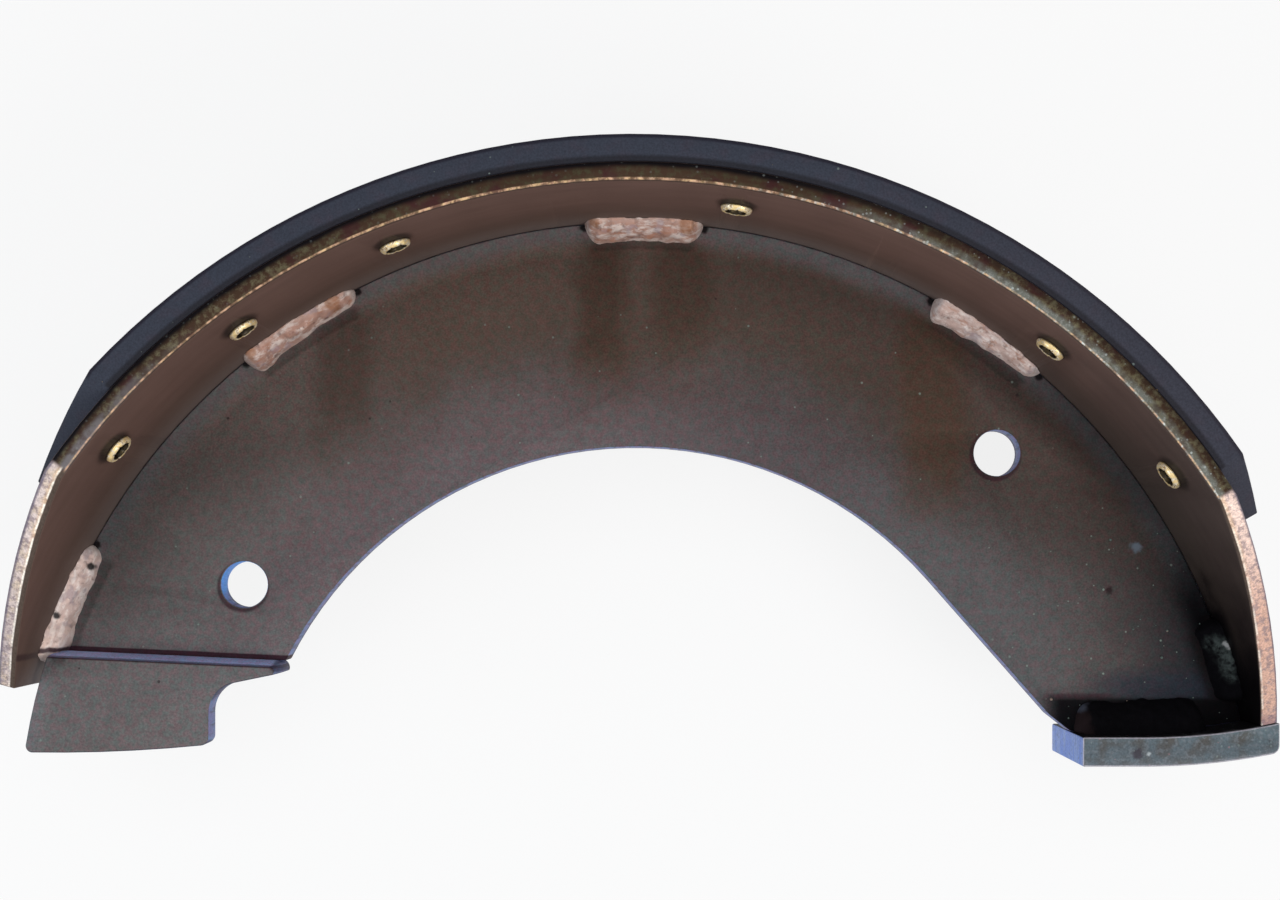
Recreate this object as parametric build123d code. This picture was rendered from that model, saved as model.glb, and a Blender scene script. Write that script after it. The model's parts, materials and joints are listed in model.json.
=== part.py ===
"""Brake shoe for a 300 mm drum, lying on one side with the drum axis vertical.

A rolled steel rim carries a riveted friction lining on its outside and stands on a flat web.
The web ends in an offset anchor tongue on the left and sits on a cam plate on the right.

Everything is drawn about the drum axis (X = Y = 0) with the shoe's lower side on Z = 0.
Angles are in degrees, anticlockwise from +X about the drum axis.
The finished shoe is moved so that the origin is at the bottom centre of its box.
"""
import os
from math import acos, asin, cos, degrees, radians, sin, sqrt, tan

from build123d import *

# ---- drum, lining and rim ----
DRUM_RADIUS = 150.0
SHOE_WIDTH = 90.0
LINING_THICKNESS = 5.5
LINING_LEFT_END_ANGLE = 147.6
LINING_RIGHT_END_ANGLE = 29.4
LINING_LEFT_CUT_START_ANGLE = 137.0
LINING_RIGHT_CUT_START_ANGLE = 34.7
LINING_LEFT_CUT_ANGLE = 32.0
LINING_RIGHT_CUT_ANGLE = 41.5
LINING_SEAT_GAP = 0.1
RIM_THICKNESS = 4.0
RIM_LEFT_END_ANGLE = 165.4
RIM_LEFT_CUT_START_ANGLE = 145.1
RIM_RIGHT_CUT_START_ANGLE = 32.6
RIM_CUT_ANGLE = 30.0

# ---- rivets: two rows of tubular brass rivets, many-sided so that they stay light ----
RIVET_SIDES = 16
RIVET_PITCH_ANGLE = 15.1
RIVET_STATIONS = 8
RIVET_PATTERN_CENTRE_ANGLE = 88.6
RIVET_ROW_OFFSET = 27.5
RIVETS_UPPER = (1, 2, 3, 5, 7, 8)
RIVETS_LOWER = (1, 2, 4, 6, 7, 8)
RIVET_SHANK_DIAMETER = 5.0
RIVET_BORE_DIAMETER = 3.4
RIVET_HEAD_DIAMETER = 9.0
RIVET_HEAD_THICKNESS = 1.0
RIVET_ROLL_DIAMETER = 6.8
RIVET_ROLL_HEIGHT = 1.2
RIVET_ROLL_CHAMFER = 0.5
RIVET_SOLID_LENGTH = 1.6
RIVET_HOLE_CLEARANCE = 0.1
RIVET_ROLL_GAP = 0.08
COUNTERBORE_CLEARANCE = 0.5
LINING_UNDER_HEAD = 2.2

# ---- web ----
WEB_THICKNESS = 6.0
WEB_INNER_RADIUS = 89.3
WEB_ROOT_GAP = 0.15
WEB_NECK_DEPTH = 8.9
WEB_NECK_ANGLE = 16.8
SPRING_HOLE_DIAMETER = 10.5
LEFT_HOLE_INSET = 16.8
LEFT_HOLE_ANGLE = 146.9
RIGHT_HOLE_INSET = 31.0
RIGHT_HOLE_ANGLE = 46.9

# ---- anchor tongue, pressed one plate thickness upward ----
TONGUE_OUTER_RADIUS = 138.2
TONGUE_STEP_LEFT_Y = 43.0
TONGUE_STEP_RIGHT_Y = 40.6
TONGUE_SHOULDER_INSET = 0.25
TONGUE_SHOULDER_Y = 38.1
TONGUE_NECK_Y = 34.9
TONGUE_NECK_DEPTH = 15.6
TONGUE_BOTTOM_LEFT_Y = 20.5
TONGUE_BOTTOM_RIGHT_Y = 22.2
TONGUE_BOTTOM_SAG = 0.65
TONGUE_STEP_LAP = 4.6
TONGUE_NECK_RADIUS = 6.8
TONGUE_SHOULDER_RADIUS = 2.0
TONGUE_RIGHT_RADIUS = 2.0
TONGUE_LEFT_RADIUS = 1.5
STEP_SLOPE_RUN = 1.1
STEP_SLOPE_DEPTH = 4.6

# ---- cam plate under the web's right end ----
CAM_PLATE_THICKNESS = 6.5
CAM_PLATE_WIDTH = 28.6
CAM_PLATE_NECK_OFFSET = 4.8
CAM_PLATE_BOTTOM_Y = 18.0
CAM_PLATE_FLAT_LENGTH = 13.7
CAM_PLATE_BEND_RADIUS = 146.5
CAM_PLATE_END_RADIUS = 2.0
CAM_SEAT_GAP = 0.1

# ---- stitch welds between web and rim: angle of the middle and length along the rim ----
ANCHOR_WELD_ANGLE = 157.35
ANCHOR_WELD_LENGTH = 28.6
LEFT_WELD_ANGLE = 123.4
LEFT_WELD_LENGTH = 30.8
TOP_WELD_ANGLE = 89.2
TOP_WELD_LENGTH = 26.9
RIGHT_WELD_ANGLE = 55.15
RIGHT_WELD_LENGTH = 29.6
CAM_END_WELD_ANGLE = 17.0
CAM_END_WELD_LENGTH = 19.6
WELD_LEG = 5.0

# ---- fillet weld between web and cam plate ----
CAM_WELD_LEFT_INSET = 2.2
CAM_WELD_RIGHT_INSET = 9.1
CAM_WELD_HEIGHT = 6.8
CAM_WELD_DEPTH = 6.0
CAM_WELD_TOE = 0.4

# ---- worked out from the sizes above ----
MID_Z = SHOE_WIDTH / 2
WEB_BOTTOM_Z = MID_Z - WEB_THICKNESS / 2
WEB_TOP_Z = MID_Z + WEB_THICKNESS / 2
LINING_INNER_RADIUS = DRUM_RADIUS - LINING_THICKNESS
RIM_OUTER_RADIUS = LINING_INNER_RADIUS - LINING_SEAT_GAP
RIM_INNER_RADIUS = RIM_OUTER_RADIUS - RIM_THICKNESS
WEB_OUTER_RADIUS = RIM_INNER_RADIUS - WEB_ROOT_GAP
RIVET_SEAT_RADIUS = LINING_INNER_RADIUS + LINING_UNDER_HEAD
WEB_NECK_RADIUS = WEB_INNER_RADIUS + WEB_NECK_DEPTH
WEB_NECK_X = WEB_NECK_RADIUS * cos(radians(WEB_NECK_ANGLE))
WEB_NECK_Y = WEB_NECK_RADIUS * sin(radians(WEB_NECK_ANGLE))
TONGUE_SHOULDER_X = -sqrt(WEB_INNER_RADIUS**2 - TONGUE_STEP_RIGHT_Y**2) - TONGUE_SHOULDER_INSET
TONGUE_RIGHT_X = TONGUE_SHOULDER_X - TONGUE_NECK_DEPTH
CAM_SEAT = CAM_PLATE_THICKNESS + CAM_SEAT_GAP
CAM_SEAT_Y = CAM_PLATE_BOTTOM_Y + CAM_SEAT
CAM_BEND_CENTRE_Y = CAM_PLATE_BOTTOM_Y + CAM_PLATE_BEND_RADIUS
CAM_PLATE_LEFT_X = WEB_NECK_X + CAM_PLATE_NECK_OFFSET
CAM_PLATE_FLAT_END_X = CAM_PLATE_LEFT_X + CAM_PLATE_FLAT_LENGTH
CAM_PLATE_RIGHT_X = sqrt(RIM_OUTER_RADIUS**2 - CAM_SEAT_Y**2)
CAM_WELD_LEFT_X = CAM_PLATE_LEFT_X + CAM_WELD_LEFT_INSET
CAM_WELD_RIGHT_X = sqrt(WEB_OUTER_RADIUS**2 - CAM_SEAT_Y**2) - CAM_WELD_RIGHT_INSET
RIM_RIGHT_END_ANGLE = degrees(asin(CAM_SEAT_Y / RIM_OUTER_RADIUS))
RIVET_HOLE_DIAMETER = RIVET_SHANK_DIAMETER + 2 * RIVET_HOLE_CLEARANCE
COUNTERBORE_DIAMETER = RIVET_HEAD_DIAMETER + 2 * COUNTERBORE_CLEARANCE
BEYOND = 2 * DRUM_RADIUS


def polar(radius, angle):
    """Point at a radius and angle about the drum axis."""
    return radius * cos(radians(angle)), radius * sin(radians(angle))


def on_circle(radius, y, side=1):
    """Point of a circle about the drum axis at height y, right (1) or left (-1)."""
    return side * sqrt(radius**2 - y**2), y


def sector(inner_radius, outer_radius, start_angle, end_angle):
    """Flat piece of a ring about the drum axis."""
    sweep_angle = end_angle - start_angle
    outer = CenterArc((0, 0), outer_radius, start_angle, sweep_angle)
    inner = CenterArc((0, 0), inner_radius, start_angle, sweep_angle)
    ends = [Line(outer @ 0, inner @ 0), Line(outer @ 1, inner @ 1)]
    return make_face([outer, inner, *ends])


def corner_cuts(cut_start, end_angle, slope, radius):
    """Two wedges that narrow a rolled strip in plan from cut_start to beyond its end."""
    toward_end = 1 if end_angle > cut_start else -1
    middle = (cut_start + end_angle) / 2
    start = -radius * sin(radians(abs(end_angle - cut_start) / 2))
    reach = -2 * start
    narrowing = (reach - start) * tan(radians(slope))
    tangent = polar(toward_end, middle + 90)
    frame = Plane(origin=(0, 0, MID_Z), x_dir=(*tangent, 0), z_dir=(*polar(1, middle), 0))
    half = SHOE_WIDTH / 2
    cuts = []
    for side in (-1, 1):
        wedge = Polygon(
            (start, side * half),
            (reach, side * half),
            (reach, side * (half - narrowing)),
            align=None,
        )
        blank = frame * wedge
        cuts.append(extrude(blank, amount=BEYOND, dir=frame.z_dir))
    return cuts


def cam_plate_outline(bottom_offset, top_offset, left_x, right_x):
    """Side view of a strip that follows the cam plate; offsets are measured up from its underside."""
    bottom_radius = CAM_PLATE_BEND_RADIUS - bottom_offset
    top_radius = CAM_PLATE_BEND_RADIUS - top_offset
    centre = (CAM_PLATE_FLAT_END_X, CAM_BEND_CENTRE_Y)

    def edge(radius):
        turn = degrees(asin((right_x - CAM_PLATE_FLAT_END_X) / radius))
        bend = CenterArc(centre, radius, -90, turn)
        flat = Line((left_x, CAM_BEND_CENTRE_Y - radius), bend @ 0)
        return flat, bend

    bottom_flat, bottom_bend = edge(bottom_radius)
    top_flat, top_bend = edge(top_radius)
    left = Line(bottom_flat @ 0, top_flat @ 0)
    right = Line(bottom_bend @ 1, top_bend @ 1)
    return make_face([bottom_flat, bottom_bend, right, top_bend, top_flat, left])


def below_cam_seat():
    """Space below the cam plate's seat, which the rim and the web stay out of."""
    return cam_plate_outline(-DRUM_RADIUS, CAM_SEAT, WEB_NECK_X, DRUM_RADIUS)


def rivet_places():
    """Name, angle and height of every rivet."""
    places = []
    rows = (("upper", RIVETS_UPPER, RIVET_ROW_OFFSET), ("lower", RIVETS_LOWER, -RIVET_ROW_OFFSET))
    middle_station = (RIVET_STATIONS + 1) / 2
    for row, stations, offset in rows:
        for number, station in enumerate(stations, start=1):
            angle = RIVET_PATTERN_CENTRE_ANGLE + (middle_station - station) * RIVET_PITCH_ANGLE
            places.append((f"rivet_{row}_{number}", angle, MID_Z + offset))
    return places


def radial_plane(angle, height):
    """Plane on the drum axis that faces outward along a rivet."""
    return Plane(origin=(0, 0, height), x_dir=(0, 0, 1), z_dir=(*polar(1, angle), 0))


def radial_cylinder(diameter, start_radius, end_radius, angle, height):
    """Round bar along a radius of the drum."""
    plane = radial_plane(angle, height)
    disc = plane.offset(start_radius) * Circle(diameter / 2)
    return extrude(disc, amount=end_radius - start_radius, dir=plane.z_dir)


def make_rim():
    """Rolled strip, narrowed in plan at both ends, with a hole for each rivet."""
    blank = sector(RIM_INNER_RADIUS, RIM_OUTER_RADIUS, 0, RIM_LEFT_END_ANGLE) - below_cam_seat()
    rim = extrude(blank, SHOE_WIDTH)
    rim -= corner_cuts(RIM_LEFT_CUT_START_ANGLE, RIM_LEFT_END_ANGLE, RIM_CUT_ANGLE, RIM_INNER_RADIUS)
    rim -= corner_cuts(RIM_RIGHT_CUT_START_ANGLE, RIM_RIGHT_END_ANGLE, RIM_CUT_ANGLE, RIM_INNER_RADIUS)
    for _, angle, height in rivet_places():
        rim -= radial_cylinder(RIVET_HOLE_DIAMETER, WEB_INNER_RADIUS, DRUM_RADIUS, angle, height)
    return rim


def make_lining():
    """Friction lining with its corners cut off and a counterbored hole for each rivet."""
    blank = sector(LINING_INNER_RADIUS, DRUM_RADIUS, LINING_RIGHT_END_ANGLE, LINING_LEFT_END_ANGLE)
    lining = extrude(blank, SHOE_WIDTH)
    left_cut = (LINING_LEFT_CUT_START_ANGLE, LINING_LEFT_END_ANGLE, LINING_LEFT_CUT_ANGLE)
    right_cut = (LINING_RIGHT_CUT_START_ANGLE, LINING_RIGHT_END_ANGLE, LINING_RIGHT_CUT_ANGLE)
    for cut in (left_cut, right_cut):
        lining -= corner_cuts(*cut, DRUM_RADIUS)
    for _, angle, height in rivet_places():
        lining -= radial_cylinder(RIVET_HOLE_DIAMETER, WEB_INNER_RADIUS, BEYOND, angle, height)
        lining -= radial_cylinder(COUNTERBORE_DIAMETER, RIVET_SEAT_RADIUS, BEYOND, angle, height)
    return lining


def make_rivet(angle, height):
    """Tubular rivet: head down in its counterbore, end rolled over on the rim's inside."""
    plane = radial_plane(angle, height)
    roll_base = RIM_INNER_RADIUS - RIVET_ROLL_GAP
    roll_tip = roll_base - RIVET_ROLL_HEIGHT
    head_top = RIVET_SEAT_RADIUS + RIVET_HEAD_THICKNESS

    def bar(diameter, start_radius, end_radius):
        outline = plane.offset(start_radius) * RegularPolygon(diameter / 2, RIVET_SIDES)
        return extrude(outline, amount=end_radius - start_radius, dir=plane.z_dir)

    roll = bar(RIVET_ROLL_DIAMETER, roll_tip, roll_base)
    tip_face = roll.faces().sort_by_distance((0, 0, height))[0]
    roll = chamfer(tip_face.edges(), RIVET_ROLL_CHAMFER)
    shank = bar(RIVET_SHANK_DIAMETER, roll_base, RIVET_SEAT_RADIUS)
    head = bar(RIVET_HEAD_DIAMETER, RIVET_SEAT_RADIUS, head_top)
    bore = bar(RIVET_BORE_DIAMETER, roll_tip, RIVET_SEAT_RADIUS - RIVET_SOLID_LENGTH)
    return roll + shank + head - bore


def step_y(x):
    """Height of the step line between web and tongue at a given X."""
    left_x, left_y = on_circle(TONGUE_OUTER_RADIUS, TONGUE_STEP_LEFT_Y, -1)
    fall = (left_y - TONGUE_STEP_RIGHT_Y) / (TONGUE_SHOULDER_X - left_x)
    return left_y - fall * (x - left_x)


def below_step(drop=0):
    """Space on the left below the step line, lowered by drop."""
    left = -DRUM_RADIUS
    return Polygon((left, step_y(left) - drop), (0, step_y(0) - drop), (0, 0), (left, 0), align=None)


def below_diagonal():
    """Space under the straight edge that leaves the web's inner circle at a tangent."""
    leaving_angle = WEB_NECK_ANGLE + degrees(acos(WEB_INNER_RADIUS / WEB_NECK_RADIUS))
    return Polygon(
        (0, 0),
        polar(WEB_INNER_RADIUS, leaving_angle),
        (WEB_NECK_X, WEB_NECK_Y),
        (CAM_PLATE_LEFT_X, CAM_SEAT_Y),
        (CAM_PLATE_LEFT_X, 0),
        align=None,
    )


def tongue_outline():
    """Outline of the anchor tongue, from the step line down to its foot."""
    top_left = on_circle(TONGUE_OUTER_RADIUS, TONGUE_STEP_LEFT_Y, -1)
    shoulder_top = (TONGUE_SHOULDER_X, TONGUE_STEP_RIGHT_Y)
    shoulder = (TONGUE_SHOULDER_X, TONGUE_SHOULDER_Y)
    neck = (TONGUE_RIGHT_X, TONGUE_NECK_Y)
    foot_right = (TONGUE_RIGHT_X, TONGUE_BOTTOM_RIGHT_Y)
    foot_left = on_circle(TONGUE_OUTER_RADIUS, TONGUE_BOTTOM_LEFT_Y, -1)
    right = Polyline(top_left, shoulder_top, shoulder, neck, foot_right)
    foot = SagittaArc(foot_right, foot_left, TONGUE_BOTTOM_SAG)
    left = RadiusArc(foot_left, top_left, TONGUE_OUTER_RADIUS)
    outline = make_face([*right.edges(), foot, left])
    rounded_corners = (
        (shoulder_top, TONGUE_SHOULDER_RADIUS),
        (neck, TONGUE_NECK_RADIUS),
        (foot_right, TONGUE_RIGHT_RADIUS),
        (foot_left, TONGUE_LEFT_RADIUS),
    )
    for corner, radius in rounded_corners:
        outline = fillet(outline.vertices().sort_by_distance((*corner, 0))[0], radius)
    return outline


def make_tongue():
    """Tongue one thickness above the web, with the lap that joins them and a sloped step."""
    outline = tongue_outline()
    lap = outline - below_step(TONGUE_STEP_LAP)
    tongue = extrude(Pos(0, 0, WEB_TOP_Z) * outline, WEB_THICKNESS)
    top = tongue.faces().sort_by(Axis.Z)[-1]
    step_edges = top.edges().sort_by(Axis.Y)[-2:]
    tongue = chamfer(step_edges, STEP_SLOPE_RUN, STEP_SLOPE_DEPTH, reference=top)
    return tongue + extrude(Pos(0, 0, WEB_BOTTOM_Z) * lap, WEB_THICKNESS)


def make_web():
    """Flat web with its anchor tongue stepped upward by one thickness, and two spring holes."""
    plate = sector(WEB_INNER_RADIUS, WEB_OUTER_RADIUS, 0, RIM_LEFT_END_ANGLE)
    plate -= [below_cam_seat(), below_diagonal(), below_step()]
    web = extrude(Pos(0, 0, WEB_BOTTOM_Z) * plate, WEB_THICKNESS) + make_tongue()
    for inset, angle in ((LEFT_HOLE_INSET, LEFT_HOLE_ANGLE), (RIGHT_HOLE_INSET, RIGHT_HOLE_ANGLE)):
        centre = Pos(*polar(WEB_INNER_RADIUS + inset, angle), MID_Z)
        web -= centre * Cylinder(SPRING_HOLE_DIAMETER / 2, SHOE_WIDTH)
    return web


def make_cam_plate():
    """Thrust plate under the web's right end, curving up to meet the rim."""
    outline = cam_plate_outline(0, CAM_PLATE_THICKNESS, CAM_PLATE_LEFT_X, CAM_PLATE_RIGHT_X)
    lower_corner = outline.vertices().filter_by_position(
        Axis.X, CAM_PLATE_RIGHT_X - CAM_SEAT_GAP, CAM_PLATE_RIGHT_X + CAM_SEAT_GAP
    ).sort_by(Axis.Y)[0]
    outline = fillet(lower_corner, CAM_PLATE_END_RADIUS)
    return extrude(Pos(0, 0, MID_Z - CAM_PLATE_WIDTH / 2) * outline, CAM_PLATE_WIDTH)


def make_stitch(middle_angle, length):
    """Stitch weld in the upper corner of web and rim, rounded at both ends."""
    profile = Polygon(
        (WEB_OUTER_RADIUS, WEB_TOP_Z),
        (WEB_OUTER_RADIUS - WELD_LEG, WEB_TOP_Z),
        (WEB_OUTER_RADIUS, WEB_TOP_Z + WELD_LEG),
        align=None,
    )
    turn = degrees(length / WEB_OUTER_RADIUS)
    straight_turn = turn - degrees(2 * WELD_LEG / WEB_OUTER_RADIUS)
    bead = revolve(Plane.XZ * profile, Axis.Z, turn)
    path = CenterArc((0, 0), WEB_OUTER_RADIUS, middle_angle - straight_turn / 2, straight_turn)
    rounded = extrude(SlotArc(path, 2 * WELD_LEG), SHOE_WIDTH)
    return (Rot(0, 0, middle_angle - turn / 2) * bead) & rounded


def make_cam_weld():
    """Fillet weld in the upper corner of web and cam plate, straight and then curved as the plate is."""
    profile = Plane.YZ.offset(CAM_PLATE_FLAT_END_X) * Polygon(
        (CAM_SEAT_Y, WEB_TOP_Z),
        (CAM_SEAT_Y + CAM_WELD_HEIGHT, WEB_TOP_Z),
        (CAM_SEAT_Y + CAM_WELD_TOE, WEB_TOP_Z + CAM_WELD_DEPTH),
        (CAM_SEAT_Y, WEB_TOP_Z + CAM_WELD_DEPTH),
        align=None,
    )
    bend_axis = Axis((CAM_PLATE_FLAT_END_X, CAM_BEND_CENTRE_Y, 0), (0, 0, 1))
    seat_radius = CAM_BEND_CENTRE_Y - CAM_SEAT_Y
    turn = degrees(asin((CAM_WELD_RIGHT_X - CAM_PLATE_FLAT_END_X) / seat_radius))
    straight = extrude(profile, amount=CAM_PLATE_FLAT_END_X - CAM_WELD_LEFT_X, dir=(-1, 0, 0))
    return straight + revolve(profile, bend_axis, turn)


def build_nodes():
    """Every piece of the shoe by name, about the drum axis."""
    web = make_web()
    nodes = {"web": web, "rim": make_rim(), "lining": make_lining(), "cam_plate": make_cam_plate()}
    for name, angle, height in rivet_places():
        nodes[name] = make_rivet(angle, height)
    welds = {
        "weld_anchor": make_stitch(ANCHOR_WELD_ANGLE, ANCHOR_WELD_LENGTH),
        "weld_left": make_stitch(LEFT_WELD_ANGLE, LEFT_WELD_LENGTH),
        "weld_top": make_stitch(TOP_WELD_ANGLE, TOP_WELD_LENGTH),
        "weld_right": make_stitch(RIGHT_WELD_ANGLE, RIGHT_WELD_LENGTH),
        "weld_cam": make_stitch(CAM_END_WELD_ANGLE, CAM_END_WELD_LENGTH),
        "weld_cam_plate": make_cam_weld(),
    }
    for name, bead in welds.items():
        nodes[f"{name}_upper"] = bead - web
        nodes[f"{name}_lower"] = mirror(bead, about=Plane.XY.offset(MID_Z))
    return nodes


def main():
    """Move the shoe to its origin and write one STEP file per piece."""
    nodes = build_nodes()
    box = Compound(children=[Compound(piece.solids()) for piece in nodes.values()]).bounding_box()
    to_origin = Pos(-box.center().X, -box.center().Y, -box.min.Z)
    os.makedirs("parts", exist_ok=True)
    for name, piece in nodes.items():
        export_step(to_origin * piece, f"parts/{name}.step")
    print("drum axis at", -box.center().X, -box.center().Y)


main()
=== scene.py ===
"""Finishes, rivets, weld beads and studio for a riveted drum brake shoe.

Lengths are in metres and places are in the shoe's own frame, unless a name ends in _MM: finishes measure
in millimetres from the drum axis, with angles in degrees, anticlockwise from +X. Tints are linear colours.
"""
import json
from math import atan2, cos, degrees, pi, prod, radians, sin

import bmesh
import bpy
from bpy.props import FloatProperty, FloatVectorProperty, IntProperty, PointerProperty
from bpy.types import Operator, Panel, PropertyGroup
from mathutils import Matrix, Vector


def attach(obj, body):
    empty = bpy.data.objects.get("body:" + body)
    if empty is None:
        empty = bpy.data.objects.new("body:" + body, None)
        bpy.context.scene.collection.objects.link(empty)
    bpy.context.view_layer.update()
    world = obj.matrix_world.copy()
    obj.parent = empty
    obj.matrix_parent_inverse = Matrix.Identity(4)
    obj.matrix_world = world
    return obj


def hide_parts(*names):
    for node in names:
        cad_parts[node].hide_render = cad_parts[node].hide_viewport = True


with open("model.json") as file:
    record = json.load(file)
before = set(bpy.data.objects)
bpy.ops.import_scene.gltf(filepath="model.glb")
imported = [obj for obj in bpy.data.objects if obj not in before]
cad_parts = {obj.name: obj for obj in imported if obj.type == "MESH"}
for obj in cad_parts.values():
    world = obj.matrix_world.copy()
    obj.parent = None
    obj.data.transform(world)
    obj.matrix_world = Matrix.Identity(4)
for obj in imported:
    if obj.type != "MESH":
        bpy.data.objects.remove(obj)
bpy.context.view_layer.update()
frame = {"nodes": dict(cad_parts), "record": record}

bl_info = {
    "name": "Brake Shoe",
    "version": (1, 0, 0),
    "blender": (4, 5, 0),
    "location": "3D View > Sidebar > Brake Shoe",
    "description": "Finishes and fine detail of a riveted drum brake shoe",
    "category": "Object",
}

# ---- the shoe ----
BODY = "root"
MM = 0.001
DRUM_RADIUS = 150 * MM
RIM_INNER_RADIUS = 140.4 * MM
MOUNTS = {mount["name"]: Vector(mount["pos_m"]) for mount in frame["record"]["mounts"]}
DRUM_AXIS = MOUNTS["friction_face"] - Vector((0, DRUM_RADIUS, 0))
MID_Z_MM = DRUM_AXIS.z / MM
SPRING_HOLES_MM = [
    tuple((MOUNTS[name] - DRUM_AXIS).xy / MM) for name in ("anchor_side_spring_hole", "cam_side_spring_hole")
]
TONGUE_STEP_LEFT_MM = (-131.4, 43.0)
TONGUE_STEP_FALL = 2.4 / 51.6
SIDES = {"upper": 1, "lower": -1}
WELD_DISTANCE = 0.002 * MM
FLAT_ANGLE = radians(0.2)
SHARP_ANGLE = radians(32)

# ---- rivets ----
RIVET_ROLL_RADIUS = 3.4 * MM
RIVET_BORE_RADIUS = 1.8 * MM
RIVET_BORE_DEPTH = 4.6 * MM
RIVET_MOUTH_DEPTH = 0.6 * MM
RIVET_SHANK_RADIUS = 2.5 * MM
RIVET_HEAD_RADIUS = 4.5 * MM
RIVET_HEAD_THICKNESS = 1.0 * MM
RIVET_HEAD_ROUND = 0.2 * MM
RIVET_SEAT_DEPTH = 6.3 * MM
RIVET_SEGMENTS = 48
ROLL_STEPS = 12
ROLL_SHARPNESS = 0.8
BORE_RINGS = 8
SPLITS = 7
SPLIT_NARROWNESS = 6
SPLIT_DEPTH = (0.012, 0.16)  # shares of the radius and of the height
SPLIT_START = 0.7
ROLL_LEAN = 0.03
ROLL_LEAN_START = 1.1

# ---- weld beads and spatter ----
STITCHES = {  # share of the full width, share lost towards the clockwise end, bare degrees at the other
    "weld_anchor": (0.86, 0.26, 0.0),
    "weld_left": (0.84, 0.42, 0.5),
    "weld_top": (0.88, 0.16, 0.0),
    "weld_right": (0.90, 0.54, 0.2),
    "weld_cam": (0.92, 0.1, 0.0),
}
STITCH_LEG = 4.9 * MM
STITCH_WALL_LEG = 5.2 * MM
CAM_WELD_PLATE_LEG = 6.6 * MM
CAM_WELD_WALL_LEG = 5.8 * MM
CAM_WELD_TAPER = 0.1
CAM_WELD_OVERRUN = 1.3 * MM
CAM_WELD_NUMBER = 6
CAM_FLAT_END = 112.5 * MM
CAM_SEAT_RADIUS = 139.9 * MM
FAR_SIDE_NUMBER = 10
LINE_POINTS = 40
BEAD_SINK = 0.024  # share of a leg that the bead's corner is drawn in
BEAD_SWELL = 0.11
BEAD_END = 2.8 * MM
BEAD_STEP = 0.45 * MM
BEAD_PROFILE_STEPS = 12
BEAD_FULL_WIDTH = 1.08
BEAD_THINNEST_END = 0.03
WIDTH_WAVER = (0.72, 0.56)  # least width, and what noise adds to it
WAVER_SCALE = 170.0
LUMP_SCALE = 420.0
RIPPLE_SWAY = 5
SPATTER_CENTRE_MM = (121.0, 44.0, 0.0)
SPATTER_SPREAD = 26 * MM
SMALLEST_DROP = 0.5

# ---- stage ----
LENS_SENSOR = 36.0
LENS = 46.4
CAMERA_FROM_AXIS_MM = (5.15, 66.7, 423.0)
CAMERA_SHIFT = (-0.0141, 0.075)
CAMERA_NEAR = 0.01
FLOOR_HALF = 20.0
FLOOR_GAP = 0.2 * MM
FLOOR_FADE_MM = (1600, 500)
FLOOR_SHADOW_SHARE = 0.16
LAMPS = (  # name, place, aim, side, energy, colour
    ("key_lamp", (0.75, -0.70, 0.95), (0.0, 0.0, 0.03), 0.55, 6.0, (1.0, 0.985, 0.96)),
    ("top_lamp", (0.0, 0.1, 1.35), (0.0, 0.0, 0.0), 1.1, 6.0, (1.0, 1.0, 1.0)),
    ("sky_lamp", (-0.95, -0.35, 0.55), (0.0, 0.0, 0.03), 0.6, 3.0, (0.82, 0.9, 1.0)),
)
SKY = (0.94, 0.97, 1.0, 1)
SKY_STRENGTH = 0.3
WHITE = (1, 1, 1, 1)

# ---- places of marks, painted highlights and painted shadows on the finishes ----
STAINS_MM = (  # left, right, bottom and strength of each brown stain below a weld
    (-73.0, -60.5, 90.0, 0.5),
    (-13.0, -1.5, 101.0, 0.8),
    (4.0, 17.0, 110.0, 0.65),
    (60.0, 75.0, 76.0, 0.95),
)
STEP_TIP_MM = (-80.2, 39.7)
WEB_HIGHLIGHT_MM = (113.6, 66.5)
WEB_POCK_MM = (107.7, 56.7)
END_SHADOW_INSET = 0.6 * MM
BEAD_RUST_MM = ((11.9, 138.9, 1.9), (-9.6, 139.6, 1.1), (-68.3, 121.4, 1.6), (-86.0, 109.9, 1.1))
BEAD_PITS_MM = ((-122.9, 62.0), (-129.9, 51.0), (77.0, 111.0), (-74.5, 113.0))
CAM_BEAD_FILM_MM = (
    (130.6, 45.0, 1.3),
    (132.1, 43.0, 1.4),
    (133.0, 40.9, 1.4),
    (133.5, 38.9, 1.2),
    (133.8, 37.2, 0.8),
)
CAM_BEAD_GLINTS_MM = ((132.2, 44.9), (132.8, 44.4), (133.3, 43.9))
PLATE_DENT_MM = (110.8, 20.9)
PLATE_GLINT_MM = (113.3, 20.8)
RIVET_SHADOW_SHIFT_MM = 2.6
CAM_SIDE_TURNS = (95, 60)


# ---- colours ----
def tint(*thousandths):
    """Linear colour given in thousandths of full brightness."""
    return tuple(share / 1000 for share in thousandths)


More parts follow.
